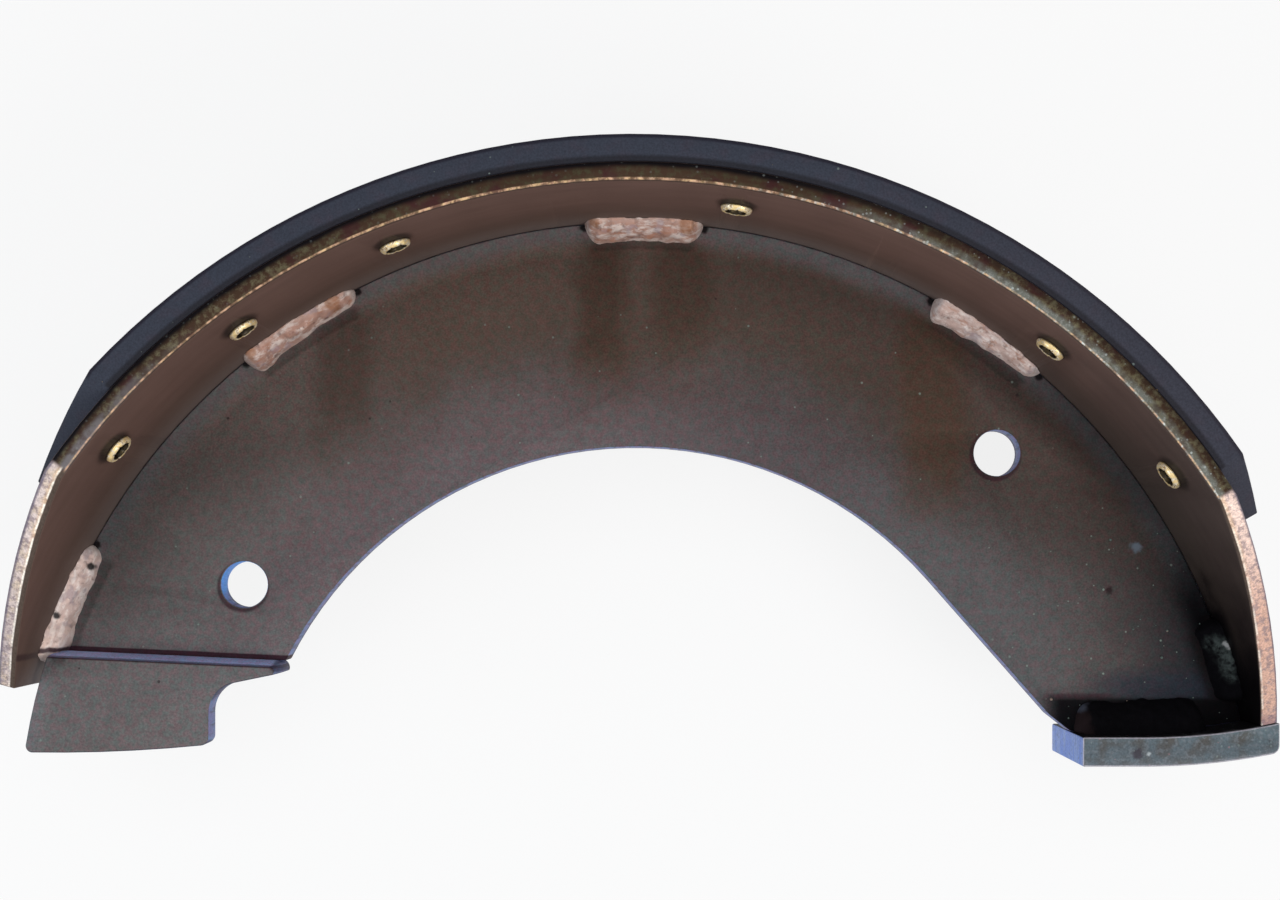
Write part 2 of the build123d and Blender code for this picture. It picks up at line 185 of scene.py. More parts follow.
# films, stains, marks, painted shade, painted light and painted reflections: web
WELD_SHADOW_LINE = tint(12, 8, 8)
WELD_END_SHADOW = tint(6, 5, 6)
CORNER_SOOT_AND_SHADE = tint(17, 20, 27)
NAVY_SOOT_AND_SHADE = tint(22, 27, 40)
STEP_TIP = tint(20, 6, 14)
WEB_POCK = tint(20, 10, 12)
WEB_GRIT = tint(30, 18, 20)
MAROON = tint(35, 12, 20)
UNDER_STEP = tint(35, 38, 60)
TORN_EDGE = tint(100, 100, 120)
SHEAR_MARK = tint(130, 130, 170)
WEB_HIGHLIGHT = tint(150, 190, 240)
HOLE_WALL_REFLECTION = tint(150, 400, 880)
WEB_SPARK = tint(200, 250, 220)
ARCH_FILM = tint(870, 770, 780)
COOL_GRAIN = tint(890, 1070, 1030)
WARM_GRAIN = tint(1150, 940, 970)
# films, stains, marks, painted shade and painted light: rim
SEAM_BLACK = tint(4, 3, 4)
BURNT_AND_SHADED_RIM = tint(6.5, 5.2, 6.5)
RIVET_PAINTED_SHADOW = tint(8, 6, 6)
RED_OXIDE = tint(45, 12, 14)
INNER_LIP = tint(55, 36, 30)
OLIVE = tint(60, 52, 28)
LIT_ROOT_GREY = tint(62, 56, 55)
ROOT_SHADE_BROWN = tint(68, 53, 42)
CUT_FILM = tint(85, 62, 50)
CUT_OUTLINE = tint(100, 90, 140)
PALE_OLIVE = tint(150, 130, 75)
CAM_SILVER = tint(145, 150, 130)
RIM_SILVER = tint(170, 155, 160)
CUT_PURPLE = tint(160, 100, 160)
CUT_GREY = tint(240, 210, 250)
CUT_MOTTLE = tint(250, 190, 200)
BRIGHT_SILVER = tint(300, 310, 290)
RIM_SPARK = tint(420, 460, 440)
CUT_BEIGE = tint(520, 410, 300)
WORN_SILVER_HIGHLIGHT = tint(620, 660, 640)
CUT_COPPER_HIGHLIGHT = tint(660, 420, 220)
GILT = tint(660, 460, 240)
CUT_PINK = tint(800, 660, 600)
CUT_CREAM_HIGHLIGHT = tint(900, 840, 740)
# films, stains and marks: lining
SEAT_LINE = tint(10, 9, 12)
LINING_MOTTLE = tint(50, 46, 65)
LINING_DUSK = tint(55, 48, 62)
LINING_FIBRE = tint(220, 270, 250)
LINING_BRASS = tint(300, 210, 100)
# films, stains and marks: cam plate
PLATE_DENT = tint(35, 28, 40)
PLATE_GRIT = tint(45, 50, 60)
PLATE_FOOT = tint(50, 55, 70)
PLATE_BROWN = tint(85, 82, 75)
PLATE_GREY = tint(170, 190, 210)
PLATE_SPARK = tint(260, 320, 310)
PLATE_RUST = tint(300, 170, 190)
PLATE_WORN = tint(300, 300, 310)
SAW_MARK = tint(330, 440, 700)
PLATE_GLINT = tint(400, 440, 460)
PLATE_EDGE = tint(520, 500, 560)
# films, stains, marks, painted shade and painted glints: weld beads and spatter
WELD_BLACK = tint(2.5, 2.3, 3)
WELD_SOOT_AND_SHADE = tint(6, 5.5, 7)
BEAD_PIT = tint(8, 8, 10)
BARE_BROWN = tint(20, 13, 14)
CAM_SPARK = tint(60, 80, 75)
CAM_GLEAM = tint(70, 80, 110)
CAM_FILM = tint(85, 104, 100)
DROP_GREEN = tint(100, 135, 120)
BEAD_STREAK = tint(200, 130, 120)
BEAD_PURPLE = tint(320, 250, 290)
BEAD_RUST = tint(330, 140, 60)
CAM_GLINT = tint(420, 420, 420)
HEAT_STREAK = tint(440, 190, 110)
ASHEN = tint(630, 470, 420)
BEAD_WHITE = tint(780, 730, 700)
WARM_FOOT = tint(800, 600, 500)
ASHEN_PALE = tint(800, 700, 660)
# films, stains, marks, painted shade and painted highlights: rivets
RIVET_BORE_SHADE = tint(6, 4, 3)
RIVET_HIGHLIGHT = tint(1000, 950, 820)


def screen_colour(red, green, blue):
    """Linear colour of an 8-bit screen colour."""
    shares = (channel / 255 for channel in (red, green, blue))
    return tuple(s / 12.92 if s <= 0.04045 else ((s + 0.055) / 1.055) ** 2.4 for s in shares)


def colour_property(name, description, red, green, blue):
    return FloatVectorProperty(
        name=name,
        description=description,
        subtype="COLOR",
        size=3,
        min=0,
        max=1,
        default=screen_colour(red, green, blue),
    )


def length_property(name, description, millimetres):
    return FloatProperty(name=name, description=description, unit="LENGTH", min=0, default=millimetres * MM)


class ShoeColours(PropertyGroup):
    """Colours of the shoe's metals and lining, some with painted shade, highlights and reflections."""

    web_grey: colour_property("Web grey", "Plate near the inner edge and on the tongue", 106, 103, 105)
    # Oily brown film; its darker tone over the plate's middle also paints in shade.
    web_film_and_shade: colour_property("Web brown", "Oily film over the middle of the plate", 84, 71, 64)
    # Painted shade of the rim wall on the web, also used on the rim's inside towards the cam end.
    web_painted_shade: colour_property("Web shade", "Darker film near the rim on the cam side", 76, 64, 60)
    web_stain: colour_property("Heat stain", "Brown stains below the stitch welds", 72, 56, 47)
    corner_blue: colour_property("Corner blue", "Blue-grey tint along the corner with the rim", 78, 80, 84)
    # Black film and painted shade in the deep cam corner, also on the cam plate's top face.
    soot_and_shade: colour_property("Soot", "Black burnt film in the cam corner", 13, 12, 15)
    # Bare sheared edge, tinted blue as a painted reflection.
    cut_edge_and_reflection: colour_property("Cut edge", "Bare sheared edges of the plates", 128, 136, 176)
    # Dark of the fold above the tongue, which is painted shade there; also used for other dark lines.
    step_dark: colour_property("Step dark", "Folded line above the tongue", 46, 20, 32)
    # Painted highlight on the rounded edge of the tongue's step.
    step_highlight: colour_property("Step light", "Rubbed edge of the tongue's step", 192, 204, 255)
    rim_brown: colour_property("Rim brown", "Inside face of the rim", 106, 82, 74)
    rim_edge: colour_property("Rim edge", "Long edges of the rim", 64, 46, 34)
    rim_bare: colour_property("Rim bare", "Bare metal of the rim's cut ends", 204, 188, 182)
    rim_pink: colour_property("Rim pink", "Copper tint of the cut end on the cam side", 196, 160, 144)
    # Rubbed inner corner, made bright as a painted highlight.
    rim_corner_wear_and_highlight: colour_property("Rim corner", "Rubbed inner corner of the rim", 196, 158, 130)
    lining: colour_property("Lining", "Moulded friction material", 56, 60, 72)
    lining_edge: colour_property("Lining edge", "Dark outer corner of the lining", 24, 20, 34)
    plate_green: colour_property("Plate grey-green", "Side faces of the cam plate", 91, 105, 112)
    # Bare end face, tinted blue as a painted reflection.
    plate_end_and_reflection: colour_property("Plate blue", "End face of the cam plate", 120, 148, 220)
    weld_copper: colour_property("Weld copper", "Copper-tinted weld metal", 176, 138, 124)
    weld_pale: colour_property("Weld pale", "Bright high spots of the weld beads", 214, 196, 188)
    weld_dark: colour_property("Weld dark", "Oxide in the hollows of the weld beads", 104, 70, 60)
    brass: colour_property("Brass", "Rivet metal", 252, 222, 162)
    brass_dark: colour_property("Brass dark", "Tarnish on the rivets", 132, 90, 44)
    floor: colour_property("Floor", "Studio floor", 245, 245, 245)


class ShoeSizes(PropertyGroup):
    """Sizes of the shoe's fine detail."""

    edge_round: length_property("Edge rounding", "Width of the broken edges of the plates", 0.35)
    lining_round: length_property("Lining rounding", "Width of the lining's broken edges", 0.3)
    roll_height: length_property("Roll height", "Height of a rivet's rolled end above the rim", 1.25)
    bead_lump: length_property("Bead unevenness", "Height of the lumps on a weld bead", 0.8)
    bead_ripple: length_property("Bead ripple", "Height of the ripples across a weld bead", 0.05)
    ripple_pitch: length_property("Ripple pitch", "Distance between two ripples of a weld bead", 1.5)
    spatter_radius: length_property("Spatter radius", "Radius of the largest drop of weld spatter", 0.34)
    spatter_count: IntProperty(name="Spatter drops", description="Drops of weld spatter", min=0, default=64)
    seed: IntProperty(name="Seed", description="Seed of everything random", default=7)


# ---- node trees ----
def arithmetic(operation):
    """An operator of Level and its reflected form."""
    return (
        lambda self, other: self.nodes.math(operation, self, other),
        lambda self, other: self.nodes.math(operation, other, self),
    )


class Level:
    """A value in a node tree. Arithmetic on it adds Math nodes."""

    def __init__(self, nodes, socket):
        self.nodes = nodes
        self.socket = socket

    __add__, __radd__ = arithmetic("ADD")
    __sub__, __rsub__ = arithmetic("SUBTRACT")
    __mul__, __rmul__ = arithmetic("MULTIPLY")
    __truediv__, __rtruediv__ = arithmetic("DIVIDE")


class NodeTree:
    """A node tree that is written as Python expressions."""

    def __init__(self, tree):
        self.tree = tree

    def node(self, kind, inputs=None, output=0, **settings):
        """Adds a node: its settings first, then its sockets' values or links. Several outputs give a list."""
        made = self.tree.nodes.new(kind)
        for name, value in settings.items():
            if name == "capture_items":
                made.capture_items.new(*value)
            else:
                setattr(made, name, value)
        for key, value in (inputs or {}).items():
            if isinstance(value, Level):
                self.tree.links.new(value.socket, made.inputs[key])
            else:
                made.inputs[key].default_value = value
        if isinstance(output, tuple):
            return [Level(self, made.outputs[key]) for key in output]
        return Level(self, made.outputs[output])

    def math(self, operation, *values):
        return self.node("ShaderNodeMath", dict(enumerate(values)), operation=operation)

    def most(self, first, second):
        return self.math("MAXIMUM", first, second)

    def vector_math(self, operation, *values, output=0):
        return self.node("ShaderNodeVectorMath", dict(enumerate(values)), output, operation=operation)

    def scaled(self, vector, factor):
        return self.node("ShaderNodeVectorMath", {"Vector": vector, "Scale": factor}, operation="SCALE")

    def split(self, vector):
        return self.node("ShaderNodeSeparateXYZ", {0: vector}, output=(0, 1, 2))

    def join(self, x, y, z):
        return self.node("ShaderNodeCombineXYZ", {0: x, 1: y, 2: z})

    def step(self, value, start, end):
        """0 at start and 1 at end, with a soft passage between them."""
        inputs = {"Value": value, "From Min": start, "From Max": end}
        return self.node("ShaderNodeMapRange", inputs, interpolation_type="SMOOTHSTEP")

    def between(self, value, low, high, soft):
        """1 between low and high, with edges as wide as soft."""
        return self.step(value, low - soft, low + soft) * self.step(value, high + soft, high - soft)


class Finish(NodeTree):
    """A material measured in millimetres from the drum axis."""

    def __init__(self, name):
        self.material = bpy.data.materials.new(name)
        self.material.use_nodes = True
        super().__init__(self.material.node_tree)
        self.tree.nodes.clear()
        to_axis = {"Location": (*(-DRUM_AXIS.xy / MM), 0), "Scale": (1 / MM,) * 3}
        coordinates = self.node("ShaderNodeTexCoord", output="Object")
        self.place = self.node("ShaderNodeMapping", {"Vector": coordinates, **to_axis})
        self.x, self.y, self.z = self.split(self.place)
        self.radius = self.math("SQRT", self.x * self.x + self.y * self.y)
        self.turn = self.math("ARCTAN2", self.y, self.x) * (180 / pi)
        normal = self.node("ShaderNodeNewGeometry", output="Normal")
        self.normal_x, self.normal_y, normal_z = self.split(normal)
        self.flat = self.math("ABSOLUTE", normal_z)
        self.off_middle = self.math("ABSOLUTE", self.z - MID_Z_MM)
        self.along_strip = self.join(self.radius, self.turn * (pi / 180 * DRUM_RADIUS / MM), self.z)

    def where(self, **passages):
        """Product of steps, each given by the name of what it measures, its start and its end."""
        first, *others = [self.step(getattr(self, name), *ends) for name, ends in passages.items()]
        return prod(others, start=first)

    def mix(self, first, second, share, blend="MIX"):
        """Colour between first and second."""
        colours = [c if isinstance(c, Level) else (*c, 1) for c in (first, second)]
        inputs = {0: share, 6: colours[0], 7: colours[1]}
        return self.node("ShaderNodeMix", inputs, output=2, data_type="RGBA", blend_type=blend)

    def coats(self, colour, *coats):
        """Colour with coats laid over it, each a colour and the share it covers."""
        for coat, share in coats:
            colour = self.mix(colour, coat, share)
        return colour

    def noise(self, size, detail=2.0, rough=0.5, place=None):
        """Cloudy value from 0 to 1 with patches as wide as size."""
        inputs = {"Vector": place or self.place, "Scale": 1 / size, "Detail": detail, "Roughness": rough}
        return self.node("ShaderNodeTexNoise", inputs, normalize=True)

    def patches(self, start, end, *noise, **place):
        """Share of the surface covered by the clouds of a noise between two of its values."""
        return self.step(self.noise(*noise, **place), start, end)

    def streaks(self, place, stretch, *noise):
        """Noise drawn out along one direction."""
        return self.noise(*noise, place=self.vector_math("MULTIPLY", place, stretch))

    def specks(self, spacing, radius, share):
        """Round spots: share of the cells, each as wide as spacing, hold a spot of up to radius."""
        inputs = {"Vector": self.place, "Scale": 1 / spacing}
        distance, colour = self.node("ShaderNodeTexVoronoi", inputs, output=("Distance", "Color"))
        lottery, chance, _ = self.split(colour)
        reach = radius / spacing
        spot = self.step(distance / (0.4 + chance), reach, reach * 0.55)
        return spot * self.math("GREATER_THAN", lottery, 1 - share)

    def spot(self, x, y, reach, soft, wobble):
        """1 within reach of a point, seen along the drum axis, with an uneven edge."""
        dx = self.x - x
        dy = self.y - y
        distance = self.math("SQRT", dx * dx + dy * dy) + wobble
        return self.step(distance, reach + soft, reach - soft)

    def bump(self, height, depth_mm, strength):
        """Normal of a surface with this height, depth_mm deep."""
        inputs = {"Height": height, "Distance": depth_mm * MM, "Strength": strength}
        return self.node("ShaderNodeBump", inputs)

    def end(self, surface):
        """Ends the tree in a surface and gives its material."""
        self.node("ShaderNodeOutputMaterial", {"Surface": surface}, output=())
        return self.material

    def close(self, colour, roughness, metallic, normal, shine=0.2):
        """Ends the tree in a metal or plain surface and gives its material."""
        inputs = {"Base Color": colour, "Roughness": roughness, "Metallic": metallic, "Normal": normal}
        inputs["Specular IOR Level"] = shine
        return self.end(self.node("ShaderNodeBsdfPrincipled", inputs))


class Recipe(NodeTree):
    """A Geometry Nodes tree with named inputs, run once to make a plain mesh."""

    def __init__(self, name, inputs):
        super().__init__(bpy.data.node_groups.new(name, "GeometryNodeTree"))
        sockets = {"Geometry": "Geometry", **inputs, "Material": "Material"}
        for label, kind in sockets.items():
            self.tree.interface.new_socket(label, in_out="INPUT", socket_type=f"NodeSocket{kind}")
        self.tree.interface.new_socket("Geometry", in_out="OUTPUT", socket_type="NodeSocketGeometry")

    def given(self, label):
        """Value of a named input."""
        return self.node("NodeGroupInput", output=label)

    def all_given(self, *labels):
        """Values of named inputs for sockets of the same names."""
        return {label: self.given(label) for label in labels}

    def object(self, label):
        """Geometry of the object given for a named input."""
        return self.node("GeometryNodeObjectInfo", {"Object": self.given(label)}, output="Geometry")

    def clouds(self, scale, seed_step, detail=2.0):
        """Noise over the geometry's own places, different for each seed."""
        place = self.node("GeometryNodeInputPosition")
        inputs = {"Vector": place, "W": self.given("Seed") * seed_step, "Scale": scale, "Detail": detail}
        return self.node("ShaderNodeTexNoise", inputs, noise_dimensions="4D")

    def close(self, geometry):
        """Ends the tree in plain geometry with its material."""
        real = self.node("GeometryNodeRealizeInstances", {0: geometry})
        dressed = self.node("GeometryNodeSetMaterial", {"Geometry": real, **self.all_given("Material")})
        self.node("NodeGroupOutput", {0: dressed}, output=())
        return self

    def make(self, name, source, values):
        """Runs the tree on a source object, which is used up, and gives the finished piece."""
        modifier = source.modifiers.new(name, "NODES")
        modifier.node_group = self.tree
        for item in self.tree.interface.items_tree:
            if item.in_out == "INPUT" and item.name in values:
                modifier[item.identifier] = values[item.name]
        source.update_tag()
        return plain_copy(source, name)


# ---- meshes ----
def new_object(name, data):
    made = bpy.data.objects.new(name, data)
    bpy.context.scene.collection.objects.link(made)
    return made


def mesh_object(name, points, edges=(), faces=()):
    mesh = bpy.data.meshes.new(name)
    mesh.from_pydata([tuple(p) for p in points], list(edges), list(faces))
    return new_object(name, mesh)


def plain_copy(source, name):
    """A plain mesh with what source shows, in place of source."""
    bpy.context.view_layer.update()
    evaluated = source.evaluated_get(bpy.context.evaluated_depsgraph_get())
    mesh = bpy.data.meshes.new_from_object(evaluated)
    mesh.name = name
    bpy.data.objects.remove(source)
    return new_object(name, mesh)


def face_outward(piece):
    """Turns the faces of a closed piece outward and shades it smooth."""
    shape = bmesh.new()
    shape.from_mesh(piece.data)
    bmesh.ops.recalc_face_normals(shape, faces=shape.faces)
    if shape.calc_volume(signed=True) < 0:
        bmesh.ops.reverse_faces(shape, faces=shape.faces)
    for face in shape.faces:
        face.smooth = True
    shape.to_mesh(piece.data)
    shape.free()
    return piece


def joined_mesh(node):
    """A CAD node's mesh with its loose triangles joined and its flat areas made whole."""
    shape = bmesh.new()
    shape.from_mesh(frame["nodes"][node].data)
    bmesh.ops.remove_doubles(shape, verts=shape.verts, dist=WELD_DISTANCE)
    bmesh.ops.dissolve_limit(shape, angle_limit=FLAT_ANGLE, verts=shape.verts, edges=shape.edges)
    mesh = bpy.data.meshes.new(node)
    shape.to_mesh(mesh)
    shape.free()
    return mesh


def broken_edges(node, width, material, slot):
    """Replaces a CAD node by the same shape with its sharp edges broken."""
    rough = new_object(f"{node}_rough", joined_mesh(node))
    rough.data.materials.append(material)
    for face in rough.data.polygons:
        face.use_smooth = True
    bevel = rough.modifiers.new("edges", "BEVEL")
    bevel.width = width
    bevel.segments = 2
    bevel.limit_method = "ANGLE"
    bevel.angle_limit = SHARP_ANGLE
    bevel.use_clamp_overlap = False
    bevel.harden_normals = True
    hand_over(plain_copy(rough, f"{node}_finished"), slot, node)


def hand_over(piece, slot, *nodes):
    """Says what a finished piece rides on and hides the CAD nodes it stands for. The slot is not used."""
    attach(piece, BODY)
    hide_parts(*nodes)


def node_points(node):
    """Corners of a CAD node, from the drum axis."""
    return [v.co - DRUM_AXIS for v in frame["nodes"][node].data.vertices]


def point_at(radius, angle, height):
    """Point at a radius and angle about the drum axis, at a height in the shoe's frame."""
    turn = radians(angle)
    return Vector((DRUM_AXIS.x + radius * cos(turn), DRUM_AXIS.y + radius * sin(turn), height))


# ---- finishes ----
def web_finish(colours):
    """Dull rolled plate with an oily brown film, heat stains and bare cut edges, with painted shade, light
    and reflections.
    """
    f = Finish("web_steel")
    wobble = f.noise(9, 3) - 0.5
    drift = f.noise(34, 3) - 0.5
    radius = f.radius + wobble * 9 + drift * 22
    turn = f.turn + wobble * 7 + drift * 14
    # Brown film over the plate's middle, darker higher up; this darkening also paints in shade.
    brown = f.step(radius, 88, 120) * (0.35 + 0.65 * f.where(y=(46, 100)))
    brown = brown * (1 - 0.28 * f.where(x=(-45, -85)))
    colour = f.mix(colours.web_grey, colours.web_film_and_shade, brown)
    arch_film = f.where(radius=(114, 100), turn=(45, 68), y=(30, 62))
    # Painted shade cast by the rim wall on the cam side of the web.
    shade = f.step(radius, 100, 137) * f.step(turn, 86, 46) * (1 - 0.35 * f.where(turn=(42, 30)))
    filmed = f.mix(colour, ARCH_FILM, 1.0, "MULTIPLY")
    colour = f.coats(colour, (filmed, arch_film), (colours.web_painted_shade, shade))
    # Painted shade towards the cam side and painted light near the rim; a patch left of the middle is made a
    # little lighter and the far left a little darker.
    cam_painted_shade = 1 - 0.32 * f.step(turn, 104, 62)
    rim_painted_light = 1 + 0.4 * f.where(radius=(108, 134), y=(60, 100))
    anchor_glow = 1 + 0.1 * f.where(x=(-12, -42), y=(78, 104))
    anchor_dusk = 1 - 0.1 * f.where(x=(-70, -92)) * f.between(f.y, 47, 92, 6)
    colour = f.scaled(colour, cam_painted_shade * rim_painted_light * anchor_glow * anchor_dusk)
    edge_x = f.x + wobble * 7
    for left, right, bottom, strength in STAINS_MM:
        streak = f.between(edge_x, left, right, 3.5) * f.step(f.y + wobble * 12, bottom - 8, bottom + 12)
        colour = f.mix(colour, colours.web_stain, streak * strength)
    corner = f.step(f.radius + wobble * 3, 133.5, 138.8) * f.where(turn=(8, 30))
    colour = f.mix(colour, colours.corner_blue, corner * 0.65)
    # Painted light along the corner with the rim, weaker on the anchor side.
    lit_corner = f.where(radius=(132.5, 139.6), turn=(40, 64))
    colour = f.scaled(colour, 1 + lit_corner * (1.05 - 0.55 * f.where(turn=(122, 148))))
    # Black film and painted shade in the deep cam corner and above the cam plate.
    cam_corner = f.step(radius, 108, 136) * f.step(turn, 35, 14)
    above_plate = f.between(f.y + wobble * 3, 31, 38, 2.5) * f.step(f.x + wobble * 6, 98, 112)
    soot_and_shade_mask = f.step(f.radius + wobble * 4, 131.5, 137) * f.step(f.turn + wobble * 5, 30, 20)
    blackened = f.step(f.y + wobble * 0.8, 32.8, 31.4) * f.where(x=(90, 97))
    maroon = f.between(f.y + wobble * 0.8, 31.8, 33.2, 0.5) * f.between(f.x, 93, 108, 3)
    colour = f.coats(
        colour,
        (CORNER_SOOT_AND_SHADE, cam_corner * 0.9),
        (NAVY_SOOT_AND_SHADE, above_plate * 0.7),
        (MAROON, maroon * 0.7),
        (colours.soot_and_shade, f.most(soot_and_shade_mask, blackened)),
    )
    colour = weld_shadows(f, colour)
    for x, y in SPRING_HOLES_MM:
        ring = f.spot(x - 0.3, y - 0.5, 5.9, 0.35, wobble * 0.6) * f.where(flat=(0.9, 0.97))
        colour = f.mix(colour, colours.step_dark, ring * 0.7)
    above_step = f.y - (TONGUE_STEP_LEFT_MM[1] - (f.x - TONGUE_STEP_LEFT_MM[0]) * TONGUE_STEP_FALL)
    tongue_side = f.where(x=(-60, -70))
    folded = f.between(above_step + wobble * 0.3, 0.05, 1.25, 0.2) * tongue_side
    cut = f.where(flat=(0.75, 0.45))
    shear_marks = f.streaks(f.place, (1, 1, 0.1), 1.1, 3)
    torn = f.step(f.z + shear_marks * 1.2, 44.6, 43.8) * f.step(shear_marks, 0.2, 0.4)
    # Sheared faces: bare metal tinted blue as a painted reflection, with shear marks.
    sheared = f.coats(
        colours.cut_edge_and_reflection,
        (SHEAR_MARK, f.step(shear_marks, 0.5, 0.66) * 0.7),
        (TORN_EDGE, torn * 0.75),
    )
    step_wall = cut * f.between(above_step, -1.3, 0.1, 0.1) * tongue_side
    foot = f.between(above_step, -1.4, -0.82, 0.12) * tongue_side
    under = f.step(above_step, -1.5, -1.9) * tongue_side * f.where(normal_y=(-0.3, -0.7))
    # The spring hole's wall, on its upward-facing side, gets a painted blue reflection.
    hole_wall = cut * f.spot(*SPRING_HOLES_MM[0], 5.7, 0.15, 0)
    # The fold above the tongue and the step's foot are darkened as painted shade; the step's edge gets a
    # painted highlight.
    colour = f.coats(
        colour,
        (colours.step_dark, folded * 0.93),
        (sheared, cut * (1 - folded)),
        (colours.step_highlight, step_wall * (0.65 + 0.5 * f.noise(7, 1))),
        (colours.step_dark, foot * 0.7),
        (UNDER_STEP, under * 0.75),
        (STEP_TIP, f.spot(*STEP_TIP_MM, 1.5, 0.5, wobble) * 0.7),
        (HOLE_WALL_REFLECTION, hole_wall * f.where(normal_y=(0.75, 0.1)) * 0.85),
    )
    grains = f.mix(WARM_GRAIN, COOL_GRAIN, f.patches(0.36, 0.64, 1.5, 3, 0.6))
    colour = f.mix(colour, grains, 1.0, "MULTIPLY")
    colour = f.scaled(colour, f.noise(0.42, 2) * 0.9 + f.noise(2.2, 3) * 0.38 + 0.36)
    cam_half = f.step(f.x - f.y * 0.5, 40, 80)
    light_specks = f.most(f.specks(2.6, 0.26, 0.28) * 0.6, f.specks(1.9, 0.26, 0.35) * cam_half * 0.8)
    speckle = f.noise(1.4, 3) - 0.5
    # A small blue painted highlight on the web near the cam plate, with light and dark specks.
    colour = f.coats(
        colour,
        (WEB_SPARK, light_specks),
        (WEB_GRIT, f.specks(4.6, 0.34, 0.2) * 0.7),
        (WEB_HIGHLIGHT, f.spot(*WEB_HIGHLIGHT_MM, 1.0, 0.9, speckle * 3.2) * 0.7),
        (WEB_POCK, f.spot(*WEB_POCK_MM, 0.7, 0.4, speckle * 2) * 0.85),
    )
    roughness = 0.5 + f.noise(5, 2) * 0.16 - brown * 0.06
    normal = f.bump(f.noise(0.8, 3), 0.05, 0.5)
    return f.close(colour, roughness, 0.25, normal, shine=0.06)


def weld_shadows(f, colour):
    """Colour of the web with painted shade in the undercut at each stitch weld's end and a painted shadow
    along each weld.
    """
    wobble = f.noise(1.5, 2) - 0.5
    for weld in STITCHES:
        start, end, reach = stitch_span(weld, "upper")
        line = f.between(f.turn, start + 0.6, end - 0.6, 0.5)
        toe = (reach - STITCH_LEG) / MM
        line = line * f.between(f.radius + wobble * 0.8, toe - 1.3, toe + 1.5, 0.5)
        colour = f.mix(colour, WELD_SHADOW_LINE, line * 0.42)
        for angle in (start - 0.15, end + 0.15):
            place = point_at(reach - END_SHADOW_INSET, angle, 0) - DRUM_AXIS
            end_shadow = f.spot(place.x / MM, place.y / MM, 0.95, 0.4, wobble * 1.1)
            colour = f.mix(colour, WELD_END_SHADOW, end_shadow * 0.93)
    return colour


def rim_finish(colours):
    """Rolled strip: brown inside, dark long edges, bright corners and bare pink cut ends, with painted shade
    inside and painted highlights.
    """
    f = Finish("rim_steel")
    wobble = f.noise(7, 3) - 0.5
    turn = f.turn + wobble * 6
    streaks = f.streaks(f.along_strip, (1, 0.16, 1), 3.5, 3)
    # The rim's inside darkens towards the cam end as painted shade, and near-black in the cam corner as burn
    # and painted shade.
    burnt = f.most(f.step(turn, 33, 14), f.step(turn, 30, 20) * f.where(off_middle=(26, 8)))
    inside_shading = (colours.web_painted_shade, f.step(turn, 58, 30)), (BURNT_AND_SHADED_RIM, burnt)
    colour = f.scaled(f.coats(colours.rim_brown, *inside_shading), streaks * 0.35 + 0.82)
    inside = f.where(radius=(142, 141))
    anchor_line = f.between(f.y + wobble * 0.6, 41.6, 43.0, 0.4) * f.where(x=(-100, -120)) * inside
    # Painted shade towards the web on the rim's inside, and painted light near the web away from the cam end.
    towards_root = f.where(off_middle=(28, 6)) * inside * (1 - burnt)
    lit_root = f.where(off_middle=(17, 3)) * inside * f.where(turn=(40, 64))
    colour = f.coats(
        colour,
        (colours.step_dark, anchor_line * 0.7),
        (ROOT_SHADE_BROWN, towards_root * 0.5),
        (LIT_ROOT_GREY, lit_root * 0.5),
    )
    colour = f.scaled(colour, 1 + 0.85 * lit_root)
    # A painted shadow beside each rivet.
    for row, side in SIDES.items():
        for node in row_nodes(row):
            colour = f.mix(colour, RIVET_PAINTED_SHADOW, rivet_shadow(f, node, side) * 0.85)
    side = f.where(flat=(0.55, 0.75))
    near_cut = f.most(f.where(turn=(144.2, 144.7)), f.where(turn=(33.0, 32.6)))
    end_cut = f.most(f.where(off_middle=(44.8, 44.3)), near_cut) * side
    long_edge = side * (1 - end_cut)
    patches = f.noise(1.3, 4, 0.65)
    cam_side = f.where(turn=CAM_SIDE_TURNS)
    towards_ends = f.step(f.math("ABSOLUTE", f.x), 40, 85)
    colour = f.coats(
        colour,
        (rim_edge_colour(f, colours, wobble, patches, towards_ends), long_edge),
        (rim_cut_colour(f, colours, wobble, patches), end_cut),
    )
    inner_lip = f.where(radius=(140.85, 140.65)) * long_edge
    corner_end = 141.05 + 0.15 * (1 - towards_ends)
    # The rim's inner corner line: rubbed metal, made bright as a painted highlight.
    corner = f.between(f.radius, 140.7, corner_end, 0.12) * f.where(off_middle=(44.2, 44.6)) * (1 - end_cut)
    corner_wear_and_highlight = f.coats(
        colours.rim_corner_wear_and_highlight,
        (GILT, f.patches(0.5, 0.6, 1.7, 2) * 0.7),
        (WORN_SILVER_HIGHLIGHT, cam_side * f.step(patches, 0.5, 0.6)),
    )
    chipped = f.patches(0.42, 0.62, 2.2, 4, 0.65, place=f.along_strip)
    rubbed_and_lit_corner = (corner_wear_and_highlight, corner * (0.15 + 0.7 * chipped))
    colour = f.coats(colour, (INNER_LIP, inner_lip * 0.85), rubbed_and_lit_corner)
    roughness = 0.5 - long_edge * 0.08 + f.noise(4, 2) * 0.12
    seam_dark = rim_seam(f, wobble)
    metallic = 0.2 + end_cut * 0.3 + corner * 0.4 + burnt * (1 - side) * 0.75 + seam_dark * long_edge * 0.5
    normal = f.bump(f.noise(0.7, 3) + streaks * 0.6, 0.06, 0.5)
    return f.close(colour, roughness, metallic, normal, shine=0.08)


